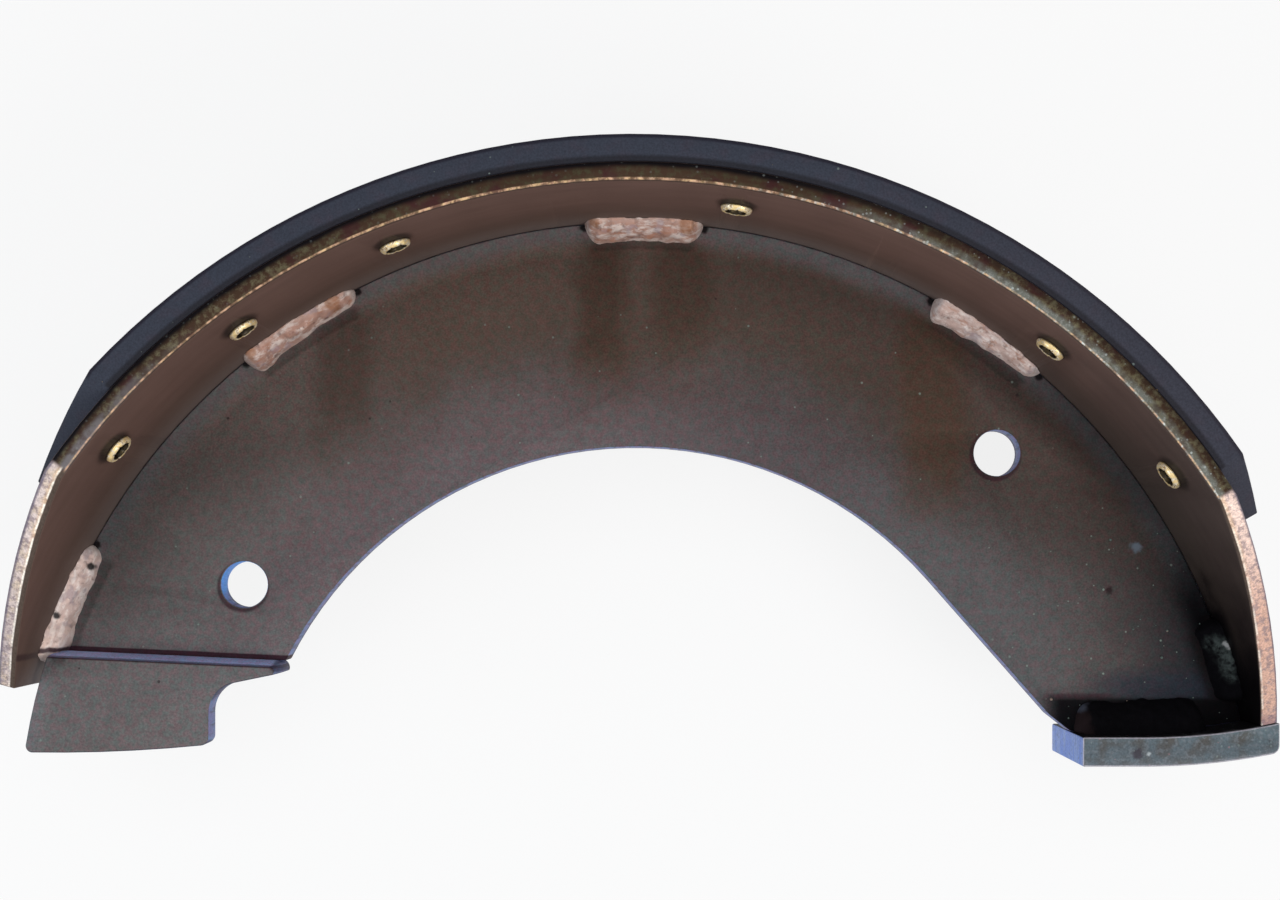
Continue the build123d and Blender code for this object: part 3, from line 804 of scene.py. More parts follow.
def rim_seam(f, wobble):
    """Share of the dark seam along the rim's outer corner."""
    return f.step(f.radius + wobble, 142.6, 143.9) * (1 - 0.55 * f.where(turn=(80, 55)))


def rim_edge_colour(f, colours, wobble, patches, towards_ends):
    """Colour of the rim's long edges: olive over brown, rubbed silver towards the ends."""
    cam_side = f.where(turn=CAM_SIDE_TURNS)
    rubbed_ends = f.most(f.where(x=(-86, -116)), f.where(x=(30, 75)))
    rubbed = f.step(f.radius + wobble * 1.5, 142.9, 141.7) * rubbed_ends
    silver = f.coats(
        RIM_SILVER,
        (CAM_SILVER, cam_side),
        (BRIGHT_SILVER, f.patches(0.48, 0.64, 0.8, 3, 0.7) * cam_side * 0.6),
    )
    sparkle = f.specks(0.95, 0.24, 0.4) * (0.2 + 0.6 * cam_side) * (0.35 + 0.65 * rubbed)
    return f.coats(
        colours.rim_edge,
        (f.mix(OLIVE, PALE_OLIVE, towards_ends), f.step(patches, 0.42, 0.72)),
        (RED_OXIDE, f.patches(0.5, 0.66, 6, 3) * 0.8),
        (SEAM_BLACK, rim_seam(f, wobble)),
        (silver, rubbed * (0.35 + 0.65 * f.patches(0.35, 0.6, 2.4, 3))),
        (RIM_SPARK, sparkle),
    )


def rim_cut_colour(f, colours, wobble, patches):
    """Colour of the rim's bare cut ends, dark at their inner and outer outlines."""
    anchor_end = f.where(x=(-60, -100))
    cam_end = 1 - anchor_end
    film_width = 0.25 + 0.85 * anchor_end + 0.35 * f.where(y=(40, 60)) * cam_end
    past_film = f.radius + wobble * 0.3 - RIM_INNER_RADIUS / MM - film_width
    # Painted highlights along the cut ends' inner edge: cream in patches, and copper higher up.
    cream_highlight = f.step(past_film, 0.6, 0.25) * f.patches(0.36, 0.52, 2.5, 3) * (0.55 + 0.25 * anchor_end)
    colour = f.coats(
        colours.rim_bare,
        (colours.rim_pink, f.where(x=(-60, 60))),
        (CUT_BEIGE, f.patches(0.46, 0.58, 2.1, 3) * anchor_end * 0.6),
        (CUT_PINK, f.where(y=(50, 72)) * cam_end * 0.6),
        (CUT_MOTTLE, f.patches(0.47, 0.6, 1.4, 4, 0.7) * 0.75),
        (CUT_PURPLE, f.step(f.y + wobble, 31, 27) * cam_end * 0.55),
        (CUT_COPPER_HIGHLIGHT, f.step(past_film, 1.2, 0.3) * f.where(y=(52, 72)) * 0.45),
        (CUT_CREAM_HIGHLIGHT, cream_highlight),
        (CUT_OUTLINE, f.step(f.radius + anchor_end * 0.25, 143.7, 144.2) * 0.75),
        (CUT_GREY, f.where(y=(62, 32)) * anchor_end * f.step(patches, 0.44, 0.54) * 0.5),
        (CUT_FILM, f.step(past_film, 0.15, -0.1)),
    )
    return f.scaled(colour, f.noise(0.45, 2) * 1.1 + 0.5)


def rivet_shadow(f, node, side):
    """Share of a painted shadow beside a rivet, towards the rim's near edge."""
    place, angle = rivet_place(node)
    along = (f.turn - angle) * (RIM_INNER_RADIUS / MM * pi / 180)
    across = (f.z - (place.z / MM + side * RIVET_SHADOW_SHIFT_MM)) * 0.75
    distance = f.math("SQRT", along * along + across * across)
    return f.step(distance, 5.2, 3.0) * f.where(radius=(142, 141))


def lining_finish(colours):
    """Moulded friction material: blue-grey, finely speckled, with a dark outer corner."""
    f = Finish("friction_lining")
    mottle = f.noise(4.5, 4, 0.6)
    colour = f.coats(
        colours.lining,
        (LINING_MOTTLE, f.step(mottle, 0.45, 0.75)),
        (colours.lining_edge, f.where(radius=(148.9, 149.5), off_middle=(43.4, 44.4)) * 0.85),
        (LINING_DUSK, f.where(x=(20, 110)) * 0.35),
        (SEAT_LINE, f.where(radius=(146.1, 145.2), off_middle=(44.4, 44.8)) * 0.75),
    )
    colour = f.coats(
        f.scaled(colour, f.noise(0.42, 2) * 0.8 + 0.56),
        (LINING_FIBRE, f.specks(2.2, 0.26, 0.22) * 0.6),
        (LINING_BRASS, f.specks(4.1, 0.26, 0.16) * 0.7),
    )
    scored = f.streaks(f.along_strip, (1, 1, 0.06), 0.9, 2) * f.where(radius=(149.6, 149.9))
    grit = f.noise(0.45, 3) + scored * 0.8
    return f.close(colour, 0.78 + mottle * 0.12, 0.0, f.bump(grit, 0.08, 0.7))


def plate_finish(colours):
    """Cam plate: grey-green sides, a bare end tinted blue as a painted reflection, a rubbed underside and a
    top in painted shade.
    """
    f = Finish("plate_steel")
    wobble = f.noise(1.6, 3) - 0.5
    saw_marks = f.streaks(f.place, (1, 0.15, 1), 1.6, 3)
    # The bare end face, tinted blue as a painted reflection, with saw marks.
    sawn = f.mix(colours.plate_end_and_reflection, SAW_MARK, f.step(saw_marks, 0.45, 0.65) * 0.6)
    colour = f.coats(
        colours.plate_green,
        (PLATE_BROWN, f.patches(0.4, 0.7, 4, 3)),
        (PLATE_GREY, f.patches(0.5, 0.62, 1.1, 3, 0.6) * 0.6),
        (PLATE_FOOT, f.where(y=(25.6, 22.0)) * 0.35),
        (sawn, f.where(normal_x=(-0.5, -0.85)) * (0.75 + 0.4 * f.noise(3, 2))),
        (PLATE_WORN, f.where(normal_y=(-0.6, -0.9)) * (0.5 + 0.4 * f.noise(3.4, 3))),
        # The plate's top face, deep in the corner, is painted near-black as shade.
        (colours.soot_and_shade, f.where(normal_y=(0.6, 0.9))),
        (PLATE_DENT, f.spot(*PLATE_DENT_MM, 1.15, 0.35, wobble * 1.4) * 0.85),
        (PLATE_GLINT, f.spot(*PLATE_GLINT_MM, 0.4, 0.25, wobble * 1.1) * 0.8),
        (PLATE_SPARK, f.specks(1.2, 0.26, 0.3) * 0.35),
        (PLATE_RUST, f.specks(1.9, 0.26, 0.4) * 0.5),
        (PLATE_GRIT, f.specks(1.4, 0.3, 0.4) * 0.5),
        (PLATE_EDGE, f.where(flat=(0.985, 0.93)) * f.where(flat=(0.2, 0.4)) * 0.7),
    )
    colour = f.scaled(colour, f.noise(0.45, 2) * 0.9 + 0.53)
    return f.close(colour, 0.46 + f.noise(3, 2) * 0.15, 0.3, f.bump(f.noise(0.8, 3), 0.06, 0.6))


def weld_finish(colours):
    """Copper-tinted weld metal, streaked along the bead, with dark oxide in its hollows."""
    f = Finish("weld_metal")
    streaks = f.streaks(f.along_strip, (1, 0.3, 1), 1.3, 4, 0.65)
    lumps = f.noise(2.4, 3)
    ashen = f.most(f.where(x=(-100, -115)), f.where(x=(50, 70)) * 0.8)
    heat = f.streaks(f.along_strip, (1, 0.2, 1), 1.2, 3, 0.6)
    toes = f.most(f.where(off_middle=(4.3, 3.4)), f.step(f.radius + lumps, 139.4, 140.4))
    colour = f.coats(
        f.mix(colours.weld_copper, ASHEN, ashen),
        (f.mix(colours.weld_pale, ASHEN_PALE, ashen), f.step(streaks, 0.44, 0.64)),
        (colours.weld_dark, f.step(lumps, 0.42, 0.28) * 0.7),
        (HEAT_STREAK, f.step(heat, 0.56, 0.64) * f.where(x=(-95, -85)) * 0.5),
        (BEAD_PURPLE, f.patches(0.56, 0.66, 3.2, 2) * 0.5),
        (BEAD_STREAK, f.patches(0.58, 0.68, 0.9, 3, 0.7, place=f.along_strip) * 0.45),
        (colours.weld_pale, toes * 0.2),
    )
    uneven = lumps - 0.5
    for weld in STITCHES:
        start, end, _ = stitch_span(weld, "upper")
        off_end = f.math("MINIMUM", f.turn - start, end - f.turn) + uneven * 1.2
        colour = f.mix(colour, BEAD_WHITE, f.between(off_end, -1, 0.55, 0.25) * 0.35)
    colour = f.mix(colour, WARM_FOOT, f.where(y=(53, 46), x=(-115, -122)) * 0.3)
    for x, y, reach in BEAD_RUST_MM:
        colour = f.mix(colour, BEAD_RUST, f.spot(x, y, reach, 0.5, uneven * 3) * 0.65)
    for x, y in BEAD_PITS_MM:
        colour = f.mix(colour, BEAD_PIT, f.spot(x, y, 0.75, 0.3, uneven * 1.6) * 0.95)
    seam = f.between(f.y + uneven * 1.2, 42.7, 43.8, 0.3) * f.where(x=(-120, -124))
    colour = f.mix(colour, colours.step_dark, seam * 0.93)
    roughness = 0.42 + f.noise(1.1, 2) * 0.3
    return f.close(colour, roughness, 0.3, f.bump(streaks + f.noise(0.5, 2) * 0.5, 0.14, 0.7))


def cam_weld_finish(colours):
    """Weld painted near-black as burnt film and painted shade, with a brown patch at its left end."""
    f = Finish("weld_black")
    wobble = f.noise(2.2, 3) - 0.5
    lumps = f.noise(1.4, 3)
    film_grain = f.patches(0.3, 0.66, 1.5, 3, 0.6)
    # Near-black as burnt film and painted shade in the deep cam corner.
    colour = f.mix(WELD_BLACK, WELD_SOOT_AND_SHADE, lumps)
    colour = f.mix(colour, CAM_SPARK, f.specks(3.2, 0.3, 0.14) * 0.8)
    for x, y, reach in CAM_BEAD_FILM_MM:
        colour = f.mix(colour, CAM_FILM, f.spot(x, y, reach, 1.5, wobble * 3.5) * film_grain * 0.8)
    for x, y in CAM_BEAD_GLINTS_MM:
        colour = f.mix(colour, CAM_GLINT, f.spot(x, y, 0.42, 0.3, lumps * 1.2 - 0.6) * 0.85)
    bare = f.step(f.x + wobble * 3, 103.4, 101.2)
    gleam = bare * f.where(off_middle=(5.6, 4.2)) * f.step(f.y + wobble * 1.5, 28.6, 29.8)
    colour = f.coats(colour, (BARE_BROWN, bare * 0.9), (CAM_GLEAM, gleam * 0.8))
    return f.close(colour, 0.7 + lumps * 0.2, 0.0, f.bump(lumps, 0.15, 0.7), shine=0.02)


def spatter_finish(colours):
    """Dull grey-green drops of weld metal."""
    f = Finish("weld_drops")
    colour = f.mix(DROP_GREEN, colours.weld_copper, f.patches(0.58, 0.62, 6, 1) * 0.5)
    return f.close(colour, 0.5, 0.2, f.bump(f.noise(0.5, 2), 0.05, 0.5))


def brass_finish(colours):
    """Plain brass with tarnish and painted highlights on the roll, and painted shade in the bore and at the
    root.
    """
    f = Finish("rivet_brass")
    tarnish = f.patches(0.5, 0.66, 0.9, 3, 0.6)
    root = f.where(radius=(139.9, 140.5)) * f.where(radius=(146.4, 145.9))
    bore = f.node("ShaderNodeAttribute", output="Fac", attribute_name="bore")
    # The bore and the rivet's root are painted near-black as shade; pale patches are painted highlights.
    colour = f.coats(
        colours.brass,
        (colours.brass_dark, tarnish * 0.75),
        (RIVET_HIGHLIGHT, f.patches(0.48, 0.56, 0.9, 2) * (1 - tarnish) * 0.85),
        (RIVET_BORE_SHADE, f.most(bore, root) * 0.97),
    )
    metallic = 0.4 + 0.5 * bore
    return f.close(colour, 0.32 + tarnish * 0.25, metallic, f.bump(f.noise(0.35, 2), 0.04, 0.6))


def floor_finish(colours):
    """Pale floor that stays white where the camera sees it unshaded, and keeps the shoe's shadow."""
    f = Finish("studio_floor")
    shadow_share = FLOOR_SHADOW_SHARE * f.where(radius=FLOOR_FADE_MM)
    matt = f.node("ShaderNodeBsdfDiffuse", {"Color": (*colours.floor, 1)})
    white = f.node("ShaderNodeEmission", {"Color": WHITE, "Strength": 1.0})
    share = seen_directly(f) * (1 - shadow_share)
    return f.end(f.node("ShaderNodeMixShader", {0: share, 1: matt, 2: white}))


def seen_directly(nodes):
    """1 for camera, glossy and transmission rays."""
    rays = ("Is Camera Ray", "Is Glossy Ray", "Is Transmission Ray")
    camera, glossy, through = nodes.node("ShaderNodeLightPath", output=rays)
    return nodes.most(nodes.most(camera, glossy), through)


# ---- rivets ----
def rivet_profile(roll_height):
    """Radius and height above the rim's inside of the rivet's outline, from its bore to its head."""
    roll_middle = (RIVET_ROLL_RADIUS + RIVET_BORE_RADIUS) / 2
    roll_half = (RIVET_ROLL_RADIUS - RIVET_BORE_RADIUS) / 2
    bore = ((0.0, 1.0), (0.8, 1.0), (0.94, 0.9))  # shares of its radius and depth at its rounded bottom
    outline = [(RIVET_BORE_RADIUS * across, -RIVET_BORE_DEPTH * deep) for across, deep in bore]
    outline.append((RIVET_BORE_RADIUS, -RIVET_MOUTH_DEPTH))
    for step in range(ROLL_STEPS + 1):
        turn = pi - pi * step / ROLL_STEPS
        outline.append((roll_middle + roll_half * cos(turn), roll_height * sin(turn) ** ROLL_SHARPNESS))
    head_top = -RIVET_SEAT_DEPTH - RIVET_HEAD_THICKNESS
    outline += [
        (RIVET_SHANK_RADIUS, 0),
        (RIVET_SHANK_RADIUS, -RIVET_SEAT_DEPTH),
        (RIVET_HEAD_RADIUS, -RIVET_SEAT_DEPTH),
        (RIVET_HEAD_RADIUS, head_top + RIVET_HEAD_ROUND),
        (RIVET_HEAD_RADIUS - RIVET_HEAD_ROUND, head_top),
        (0, head_top),
    ]
    return outline


def rivet_pattern(roll_height):
    """One rivet about the Z axis, its rolled end up and slightly split."""
    outline = rivet_profile(roll_height)
    rings = outline[1:-1]
    turns = [2 * pi * segment / RIVET_SEGMENTS for segment in range(RIVET_SEGMENTS)]
    points = [Vector((0, 0, outline[0][1])), Vector((0, 0, outline[-1][1]))]
    in_bore = [1.0, 0.0]
    for number, (radius, height) in enumerate(rings):
        above = max(height, 0) / roll_height
        in_bore += [float(number < BORE_RINGS)] * RIVET_SEGMENTS
        for turn in turns:
            split = max(0, cos(turn * SPLITS + SPLIT_START)) ** SPLIT_NARROWNESS * above
            lean = 1 + ROLL_LEAN * above * cos(turn + ROLL_LEAN_START)
            reach = radius * lean * (1 - SPLIT_DEPTH[0] * split)
            sunk = height * (1 - SPLIT_DEPTH[1] * split)
            points.append(Vector((reach * cos(turn), reach * sin(turn), sunk)))
    first, last = 2, 2 + (len(rings) - 1) * RIVET_SEGMENTS
    pairs = [(segment, (segment + 1) % RIVET_SEGMENTS) for segment in range(RIVET_SEGMENTS)]
    faces = []
    for a in range(first, last, RIVET_SEGMENTS):
        b = a + RIVET_SEGMENTS
        faces += [(a + one, a + after, b + after, b + one) for one, after in pairs]
    for one, after in pairs:
        faces += [(0, first + after, first + one), (1, last + one, last + after)]
    rivet = face_outward(mesh_object("rivet_pattern", points, faces=faces))
    rivet.data.attributes.new("bore", "FLOAT", "POINT").data.foreach_set("value", in_bore)
    return rivet


def row_nodes(row):
    """CAD nodes of a row of rivets."""
    nodes = sorted(name for name in frame["nodes"] if name.startswith(f"rivet_{row}_"))
    if not nodes:
        raise RuntimeError(f"The shoe has no {row} rivets")
    return nodes


def rivet_place(node):
    """Point on the rim's inside below a rivet, and the rivet's angle."""
    corners = node_points(node)
    middle = sum(corners, Vector()) / len(corners)
    angle = degrees(atan2(middle.y, middle.x))
    return point_at(RIM_INNER_RADIUS, angle, middle.z + DRUM_AXIS.z), angle


def rivet_row_recipe():
    """Sets a rivet on each point, with its rolled end towards the drum axis."""
    r = Recipe("rivet_row", {"Rivet": "Object", "Drum Axis": "Vector", "Seed": "Int"})
    to_axis = r.vector_math("SUBTRACT", r.given("Drum Axis"), r.node("GeometryNodeInputPosition"))
    inward = r.vector_math("MULTIPLY", to_axis, (1, 1, 0))
    facing = r.node("FunctionNodeAlignRotationToVector", {"Vector": inward}, axis="Z")
    rivets = {"Points": r.given("Geometry"), "Instance": r.object("Rivet"), "Rotation": facing}
    placed = r.node("GeometryNodeInstanceOnPoints", rivets)
    spins = {"Min": (0, 0, 0), "Max": (0, 0, 2 * pi), **r.all_given("Seed")}
    spin = r.node("FunctionNodeRandomValue", spins, data_type="FLOAT_VECTOR")
    return r.close(r.node("GeometryNodeRotateInstances", {"Instances": placed, "Rotation": spin}))


# ---- weld beads ----
def bead_profile():
    """Closed fillet outline, one leg long each way: the plate left of the corner, the wall above it."""
    outline = [(BEAD_SINK, BEAD_SINK, 0), (-1, BEAD_SINK, 0)]
    for step in range(BEAD_PROFILE_STEPS + 1):
        share = step / BEAD_PROFILE_STEPS
        swell = BEAD_SWELL * sin(pi * share)
        outline.append((-1 + share - swell, -share - swell, 0))
    outline.append((BEAD_SINK, -1, 0))
    edges = [(i, (i + 1) % len(outline)) for i in range(len(outline))]
    return mesh_object("bead_profile", outline, edges=edges)


def weld_bead_recipe():
    """Lumpy rippled fillet bead along a line of edges."""
    lengths = ("Plate Leg", "Wall Leg", "End", "Taper", "Step", "Lump", "Ripple", "Pitch")
    r = Recipe("weld_bead", {"Profile": "Object", **dict.fromkeys(lengths, "Float"), "Seed": "Int"})
    line = r.node("GeometryNodeMeshToCurve", {"Mesh": r.given("Geometry")})
    line = r.node("GeometryNodeResampleCurve", {"Curve": line, "Length": r.given("Step")}, mode="LENGTH")
    line = r.node("GeometryNodeSetCurveNormal", {"Curve": line}, mode="Z_UP")
    along = r.node("GeometryNodeSplineParameter", output="Length")
    total = r.node("GeometryNodeSplineLength", output="Length")
    from_end = r.math("MINIMUM", along, total - along) / r.given("End")
    rest = 1 - r.math("MINIMUM", from_end, 1.0)
    rounded = r.math("SQRT", r.most(1 - rest * rest, BEAD_THINNEST_END))
    narrowing = BEAD_FULL_WIDTH - r.given("Taper") * (1 - along / total)
    waver = WIDTH_WAVER[0] + WIDTH_WAVER[1] * r.clouds(WAVER_SCALE, 3.7)
    line, along = r.node(
        "GeometryNodeCaptureAttribute",
        {"Geometry": line, "Along": along},
        output=("Geometry", "Along"),
        capture_items=("FLOAT", "Along"),
    )
    legs = r.join(r.given("Plate Leg"), r.given("Wall Leg"), 1.0)
    profile = r.node("GeometryNodeTransform", {"Geometry": r.object("Profile"), "Scale": legs})
    profile = r.node("GeometryNodeMeshToCurve", {"Mesh": profile})
    sweep = {"Curve": line, "Profile Curve": profile, "Scale": rounded * narrowing * waver, "Fill Caps": True}
    bead = r.node("GeometryNodeCurveToMesh", sweep)
    normal = r.node("GeometryNodeInputNormal")
    open_face = r.step(r.split(normal)[2] * r.math("SIGN", r.given("Wall Leg")), 0.1, 0.5)
    lumps = r.clouds(LUMP_SCALE, 1.9, detail=3.0)
    wave = r.math("SINE", along / r.given("Pitch") * (2 * pi) + lumps * RIPPLE_SWAY)
    height = ((lumps - 0.5) * r.given("Lump") * 2 + wave * r.given("Ripple")) * open_face
    lifted = {"Geometry": bead, "Offset": r.scaled(normal, height)}
    return r.close(r.node("GeometryNodeSetPosition", lifted))


def stitch_span(weld, side):
    """First and last angle of a stitch weld and the radius of its corner line."""
    corners = node_points(f"{weld}_{side}")
    angles = [degrees(atan2(p.y, p.x)) for p in corners]
    return min(angles), max(angles) - STITCHES[weld][2], max(p.xy.length for p in corners)


def plate_height(corners, sign):
    """Height in the shoe's frame of the plate face below a weld's corners."""
    return min(p.z * sign for p in corners) * sign + DRUM_AXIS.z


def stitch_line(weld, side, sign):
    """Corner line of a stitch weld, anticlockwise about the drum axis."""
    start, end, reach = stitch_span(weld, side)
    plate = plate_height(node_points(f"{weld}_{side}"), sign)
    turns = [start + (end - start) * i / LINE_POINTS for i in range(LINE_POINTS + 1)]
    return [point_at(reach, turn, plate) for turn in turns]


def cam_weld_line(node, sign):
    """Corner line of a fillet weld on the cam plate, from left to right along the plate's seat."""
    corners = node_points(node)
    left = min(p.x for p in corners) - CAM_WELD_OVERRUN
    right = max(p.x for p in corners)
    bottom = min(p.y for p in corners)
    plate = plate_height(corners, sign)
    line = []
    for i in range(LINE_POINTS + 1):
        x = left + (right - left) * i / LINE_POINTS
        rise = max(0, x - CAM_FLAT_END) ** 2 / (2 * CAM_SEAT_RADIUS)
        line.append(Vector((DRUM_AXIS.x + x, DRUM_AXIS.y + bottom + rise, plate)))
    return line


def spatter_recipe():
    """Drops of weld metal scattered over the plate's flat faces near a point."""
    inputs = {"Plate": "Object", "Centre": "Vector", "Seed": "Int"}
    r = Recipe("weld_spatter", {**inputs, **dict.fromkeys(("Spread", "Density", "Radius"), "Float")})
    places = (r.node("GeometryNodeInputPosition"), r.given("Centre"))
    away = r.vector_math("DISTANCE", *places, output="Value")
    up = r.split(r.node("GeometryNodeInputNormal"))[2]
    near = r.math("LESS_THAN", away, r.given("Spread")) * r.math("GREATER_THAN", r.math("ABSOLUTE", up), 0.9)
    scatter = {"Mesh": r.object("Plate"), "Selection": near, **r.all_given("Density", "Seed")}
    points = r.node("GeometryNodeDistributePointsOnFaces", scatter, distribute_method="RANDOM")
    drop = r.node("GeometryNodeMeshIcoSphere", {**r.all_given("Radius"), "Subdivisions": 3})
    sizes = {2: SMALLEST_DROP, 3: 1.0, **r.all_given("Seed")}
    size = r.node("FunctionNodeRandomValue", sizes, output=1, data_type="FLOAT")
    drops = {"Points": points, "Instance": drop, "Scale": size * size}
    return r.close(r.node("GeometryNodeInstanceOnPoints", drops))


# ---- operators ----
class ShoeOperator:
    """What every operator of the shoe shares."""

    bl_options = {"REGISTER", "UNDO"}

    @property
    def colours(self):
        return bpy.context.scene.shoe_colours

    @property
    def sizes(self):
        return bpy.context.scene.shoe_sizes


class SHOE_OT_web(ShoeOperator, Operator):
    """Break the edges of the web and give it its finish"""

    bl_idname = "shoe.web"
    bl_label = "Web"

    def execute(self, context):
        broken_edges("web", self.sizes.edge_round, web_finish(self.colours), "web_steel")
        return {"FINISHED"}


class SHOE_OT_rim(ShoeOperator, Operator):
    """Break the edges of the rim and give it its finish"""

    bl_idname = "shoe.rim"
    bl_label = "Rim"

    def execute(self, context):
        broken_edges("rim", self.sizes.edge_round, rim_finish(self.colours), "rim_steel")
        return {"FINISHED"}


class SHOE_OT_lining(ShoeOperator, Operator):
    """Break the edges of the friction lining and give it its finish"""

    bl_idname = "shoe.lining"
    bl_label = "Lining"

    def execute(self, context):
        finish = lining_finish(self.colours)
        broken_edges("lining", self.sizes.lining_round, finish, "friction_lining")
        return {"FINISHED"}


class SHOE_OT_cam_plate(ShoeOperator, Operator):
    """Break the edges of the cam plate and give it its finish"""

    bl_idname = "shoe.cam_plate"
    bl_label = "Cam plate"

    def execute(self, context):
        broken_edges("cam_plate", self.sizes.edge_round, plate_finish(self.colours), "plate_steel")
        return {"FINISHED"}


class SHOE_OT_rivets(ShoeOperator, Operator):
    """Make both rows of rolled rivets"""

    bl_idname = "shoe.rivets"
    bl_label = "Rivets"

    def execute(self, context):
        rivet = rivet_pattern(self.sizes.roll_height)
        recipe = rivet_row_recipe()
        finish = brass_finish(self.colours)
        for row in SIDES:
            nodes = row_nodes(row)
            places = mesh_object(f"places_{row}", [rivet_place(node)[0] for node in nodes])
            values = {"Rivet": rivet, "Drum Axis": DRUM_AXIS, "Seed": self.sizes.seed, "Material": finish}
            piece = recipe.make(f"rivets_{row}", places, values)
            hand_over(face_outward(piece), "rivet_brass", *nodes)
        bpy.data.objects.remove(rivet)
        return {"FINISHED"}


class SHOE_OT_welds(ShoeOperator, Operator):
    """Make the stitch welds on the rim and the fillet welds on the cam plate"""

    bl_idname = "shoe.welds"
    bl_label = "Welds"

    def execute(self, context):
        profile = bead_profile()
        recipe = weld_bead_recipe()
        copper = weld_finish(self.colours)
        black = cam_weld_finish(self.colours)
        for side, sign in SIDES.items():
            far = FAR_SIDE_NUMBER * (sign < 0)
            for number, (weld, (share, taper, _)) in enumerate(STITCHES.items()):
                finish = black if weld == "weld_cam" else copper
                line = stitch_line(weld, side, sign)
                legs = (STITCH_LEG * share, STITCH_WALL_LEG * sign)
                self.bead(recipe, profile, f"{weld}_{side}", line, legs, taper, number + far, finish)
            node = f"weld_cam_plate_{side}"
            legs = (CAM_WELD_PLATE_LEG, CAM_WELD_WALL_LEG * sign)
            line = cam_weld_line(node, sign)
            self.bead(recipe, profile, node, line, legs, CAM_WELD_TAPER, CAM_WELD_NUMBER, black)
        bpy.data.objects.remove(profile)
        return {"FINISHED"}

    def bead(self, recipe, profile, node, line, legs, taper, number, material):
        """Runs a bead along a line in place of a CAD weld."""
        sizes = self.sizes
        values = {
            "Profile": profile,
            "Plate Leg": legs[0],
            "Wall Leg": legs[1],
            "End": BEAD_END,
            "Taper": taper,
            "Step": BEAD_STEP,
            "Lump": sizes.bead_lump,
            "Ripple": sizes.bead_ripple,
            "Pitch": sizes.ripple_pitch,
            "Seed": sizes.seed + number,
            "Material": material,
        }
        edges = [(i, i + 1) for i in range(len(line) - 1)]
        piece = recipe.make(f"{node}_bead", mesh_object(f"{node}_line", line, edges=edges), values)
        hand_over(face_outward(piece), "weld_metal", node)


class SHOE_OT_spatter(ShoeOperator, Operator):
    """Scatter drops of weld spatter near the cam end of the web"""

    bl_idname = "shoe.spatter"
    bl_label = "Weld spatter"

    def execute(self, context):
        web = bpy.data.objects.get("web_finished")
        if web is None:
            raise RuntimeError("The web must be made before its spatter")
        values = {
            "Plate": web,
            "Centre": DRUM_AXIS + Vector(SPATTER_CENTRE_MM) * MM,
            "Spread": SPATTER_SPREAD,
            "Density": self.sizes.spatter_count / (2 * pi * SPATTER_SPREAD**2),
            "Radius": self.sizes.spatter_radius,
            "Seed": self.sizes.seed,
            "Material": spatter_finish(self.colours),
        }
        piece = spatter_recipe().make("weld_spatter", mesh_object("spatter_source", [(0, 0, 0)]), values)
        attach(piece, BODY)
        return {"FINISHED"}


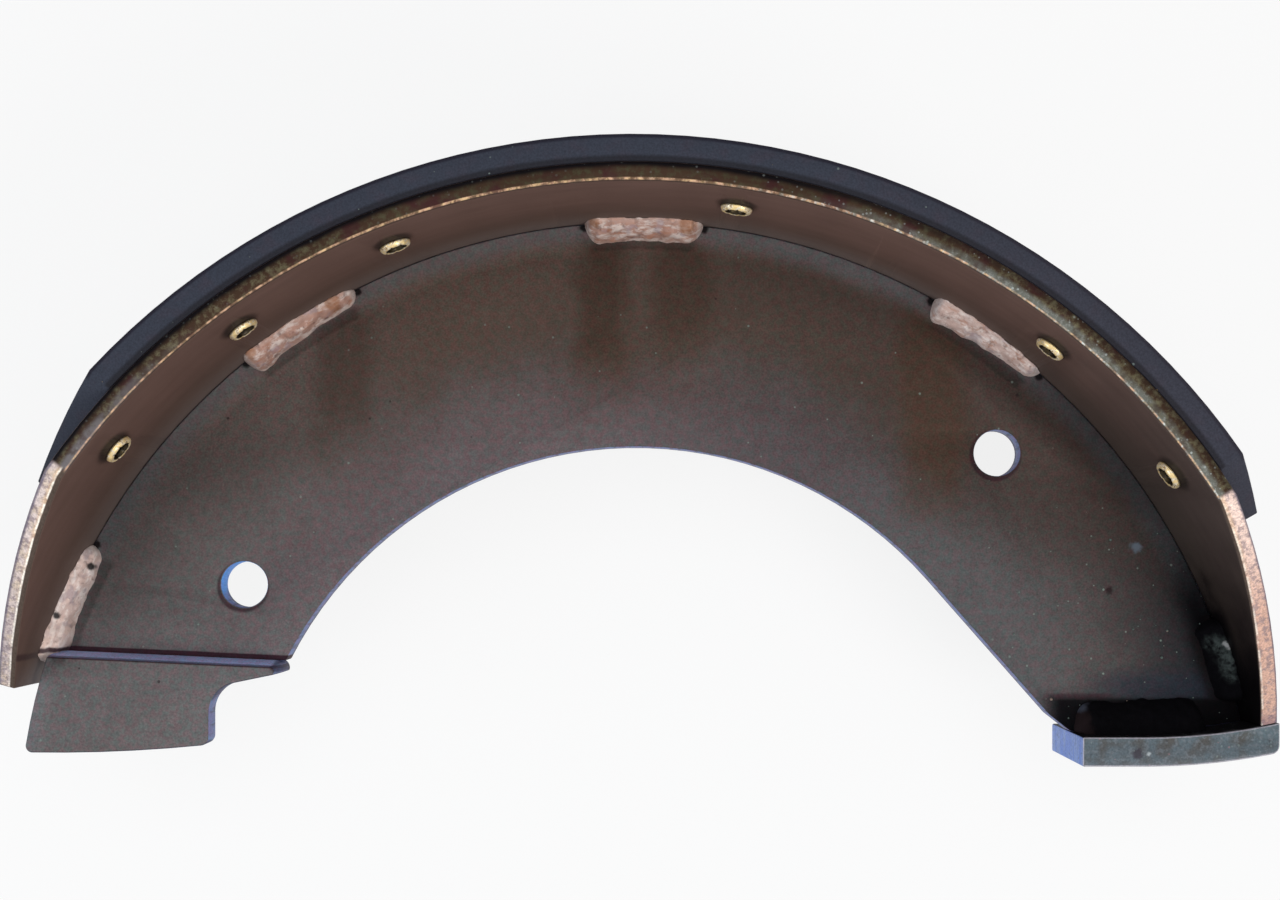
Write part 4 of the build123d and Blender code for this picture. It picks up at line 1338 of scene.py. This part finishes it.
class SHOE_OT_stage(ShoeOperator, Operator):
    """Lay the floor, hang the lamps and set the camera above the shoe"""

    bl_idname = "shoe.stage"
    bl_label = "Stage"

    def execute(self, context):
        self.floor()
        for lamp in LAMPS:
            self.lamp(*lamp)
        self.camera(bpy.context.scene)
        self.sky(bpy.context.scene)
        return {"FINISHED"}

    def floor(self):
        signs = ((-1, -1), (1, -1), (1, 1), (-1, 1))
        corners = [(x * FLOOR_HALF, y * FLOOR_HALF, -FLOOR_GAP) for x, y in signs]
        floor = mesh_object("studio_floor", corners, faces=[(0, 1, 2, 3)])
        floor.data.materials.append(floor_finish(self.colours))

    def lamp(self, name, place, aim, side, energy, colour):
        light = bpy.data.lights.new(name, "AREA")
        light.size = side
        light.energy = energy
        light.color = colour
        lamp = new_object(name, light)
        lamp.location = place
        lamp.rotation_euler = (Vector(aim) - Vector(place)).to_track_quat("-Z", "Y").to_euler()

    def camera(self, scene):
        """Camera above the web, with plain screen colours."""
        lens = bpy.data.cameras.new("camera")
        lens.sensor_width = LENS_SENSOR
        lens.lens = LENS
        lens.shift_x, lens.shift_y = CAMERA_SHIFT
        lens.clip_start = CAMERA_NEAR
        scene.camera = new_object("camera", lens)
        scene.camera.location = Vector(CAMERA_FROM_AXIS_MM) * MM + Vector((*DRUM_AXIS.xy, 0))
        scene.view_settings.view_transform = "Standard"

    def sky(self, scene):
        """Soft even sky that the camera sees as white."""
        world = bpy.data.worlds.new("studio")
        world.use_nodes = True
        world.node_tree.nodes.clear()
        n = NodeTree(world.node_tree)
        light = n.node("ShaderNodeBackground", {"Color": SKY, "Strength": SKY_STRENGTH})
        white = n.node("ShaderNodeBackground", {"Color": WHITE, "Strength": 1.0})
        mixed = n.node("ShaderNodeMixShader", {0: seen_directly(n), 1: light, 2: white})
        n.node("ShaderNodeOutputWorld", {"Surface": mixed}, output=())
        scene.world = world


OPERATORS = (
    SHOE_OT_stage,
    SHOE_OT_web,
    SHOE_OT_rim,
    SHOE_OT_lining,
    SHOE_OT_cam_plate,
    SHOE_OT_rivets,
    SHOE_OT_welds,
    SHOE_OT_spatter,
)


class SHOE_PT_panel(Panel):
    """Sidebar panel with the shoe's sizes, colours and steps"""

    bl_idname = "SHOE_PT_panel"
    bl_label = "Brake shoe"
    bl_space_type = "VIEW_3D"
    bl_region_type = "UI"
    bl_category = "Brake Shoe"

    def draw(self, context):
        scene = context.scene
        for group in (scene.shoe_sizes, scene.shoe_colours):
            column = self.layout.column()
            for name in group.__annotations__:
                column.prop(group, name)
        for operator in OPERATORS:
            self.layout.operator(operator.bl_idname)


CLASSES = (ShoeColours, ShoeSizes, *OPERATORS, SHOE_PT_panel)


def register():
    for made in CLASSES:
        bpy.utils.register_class(made)
    bpy.types.Scene.shoe_colours = PointerProperty(type=ShoeColours)
    bpy.types.Scene.shoe_sizes = PointerProperty(type=ShoeSizes)


def unregister():
    del bpy.types.Scene.shoe_sizes
    del bpy.types.Scene.shoe_colours
    for made in reversed(CLASSES):
        bpy.utils.unregister_class(made)


def main():
    """Makes the shoe's pieces in order."""
    register()
    bpy.ops.shoe.stage()
    bpy.ops.shoe.web()
    bpy.ops.shoe.rim()
    bpy.ops.shoe.lining()
    bpy.ops.shoe.cam_plate()
    bpy.ops.shoe.rivets()
    bpy.ops.shoe.welds()
    bpy.ops.shoe.spatter()


if __name__ == "__main__":
    main()
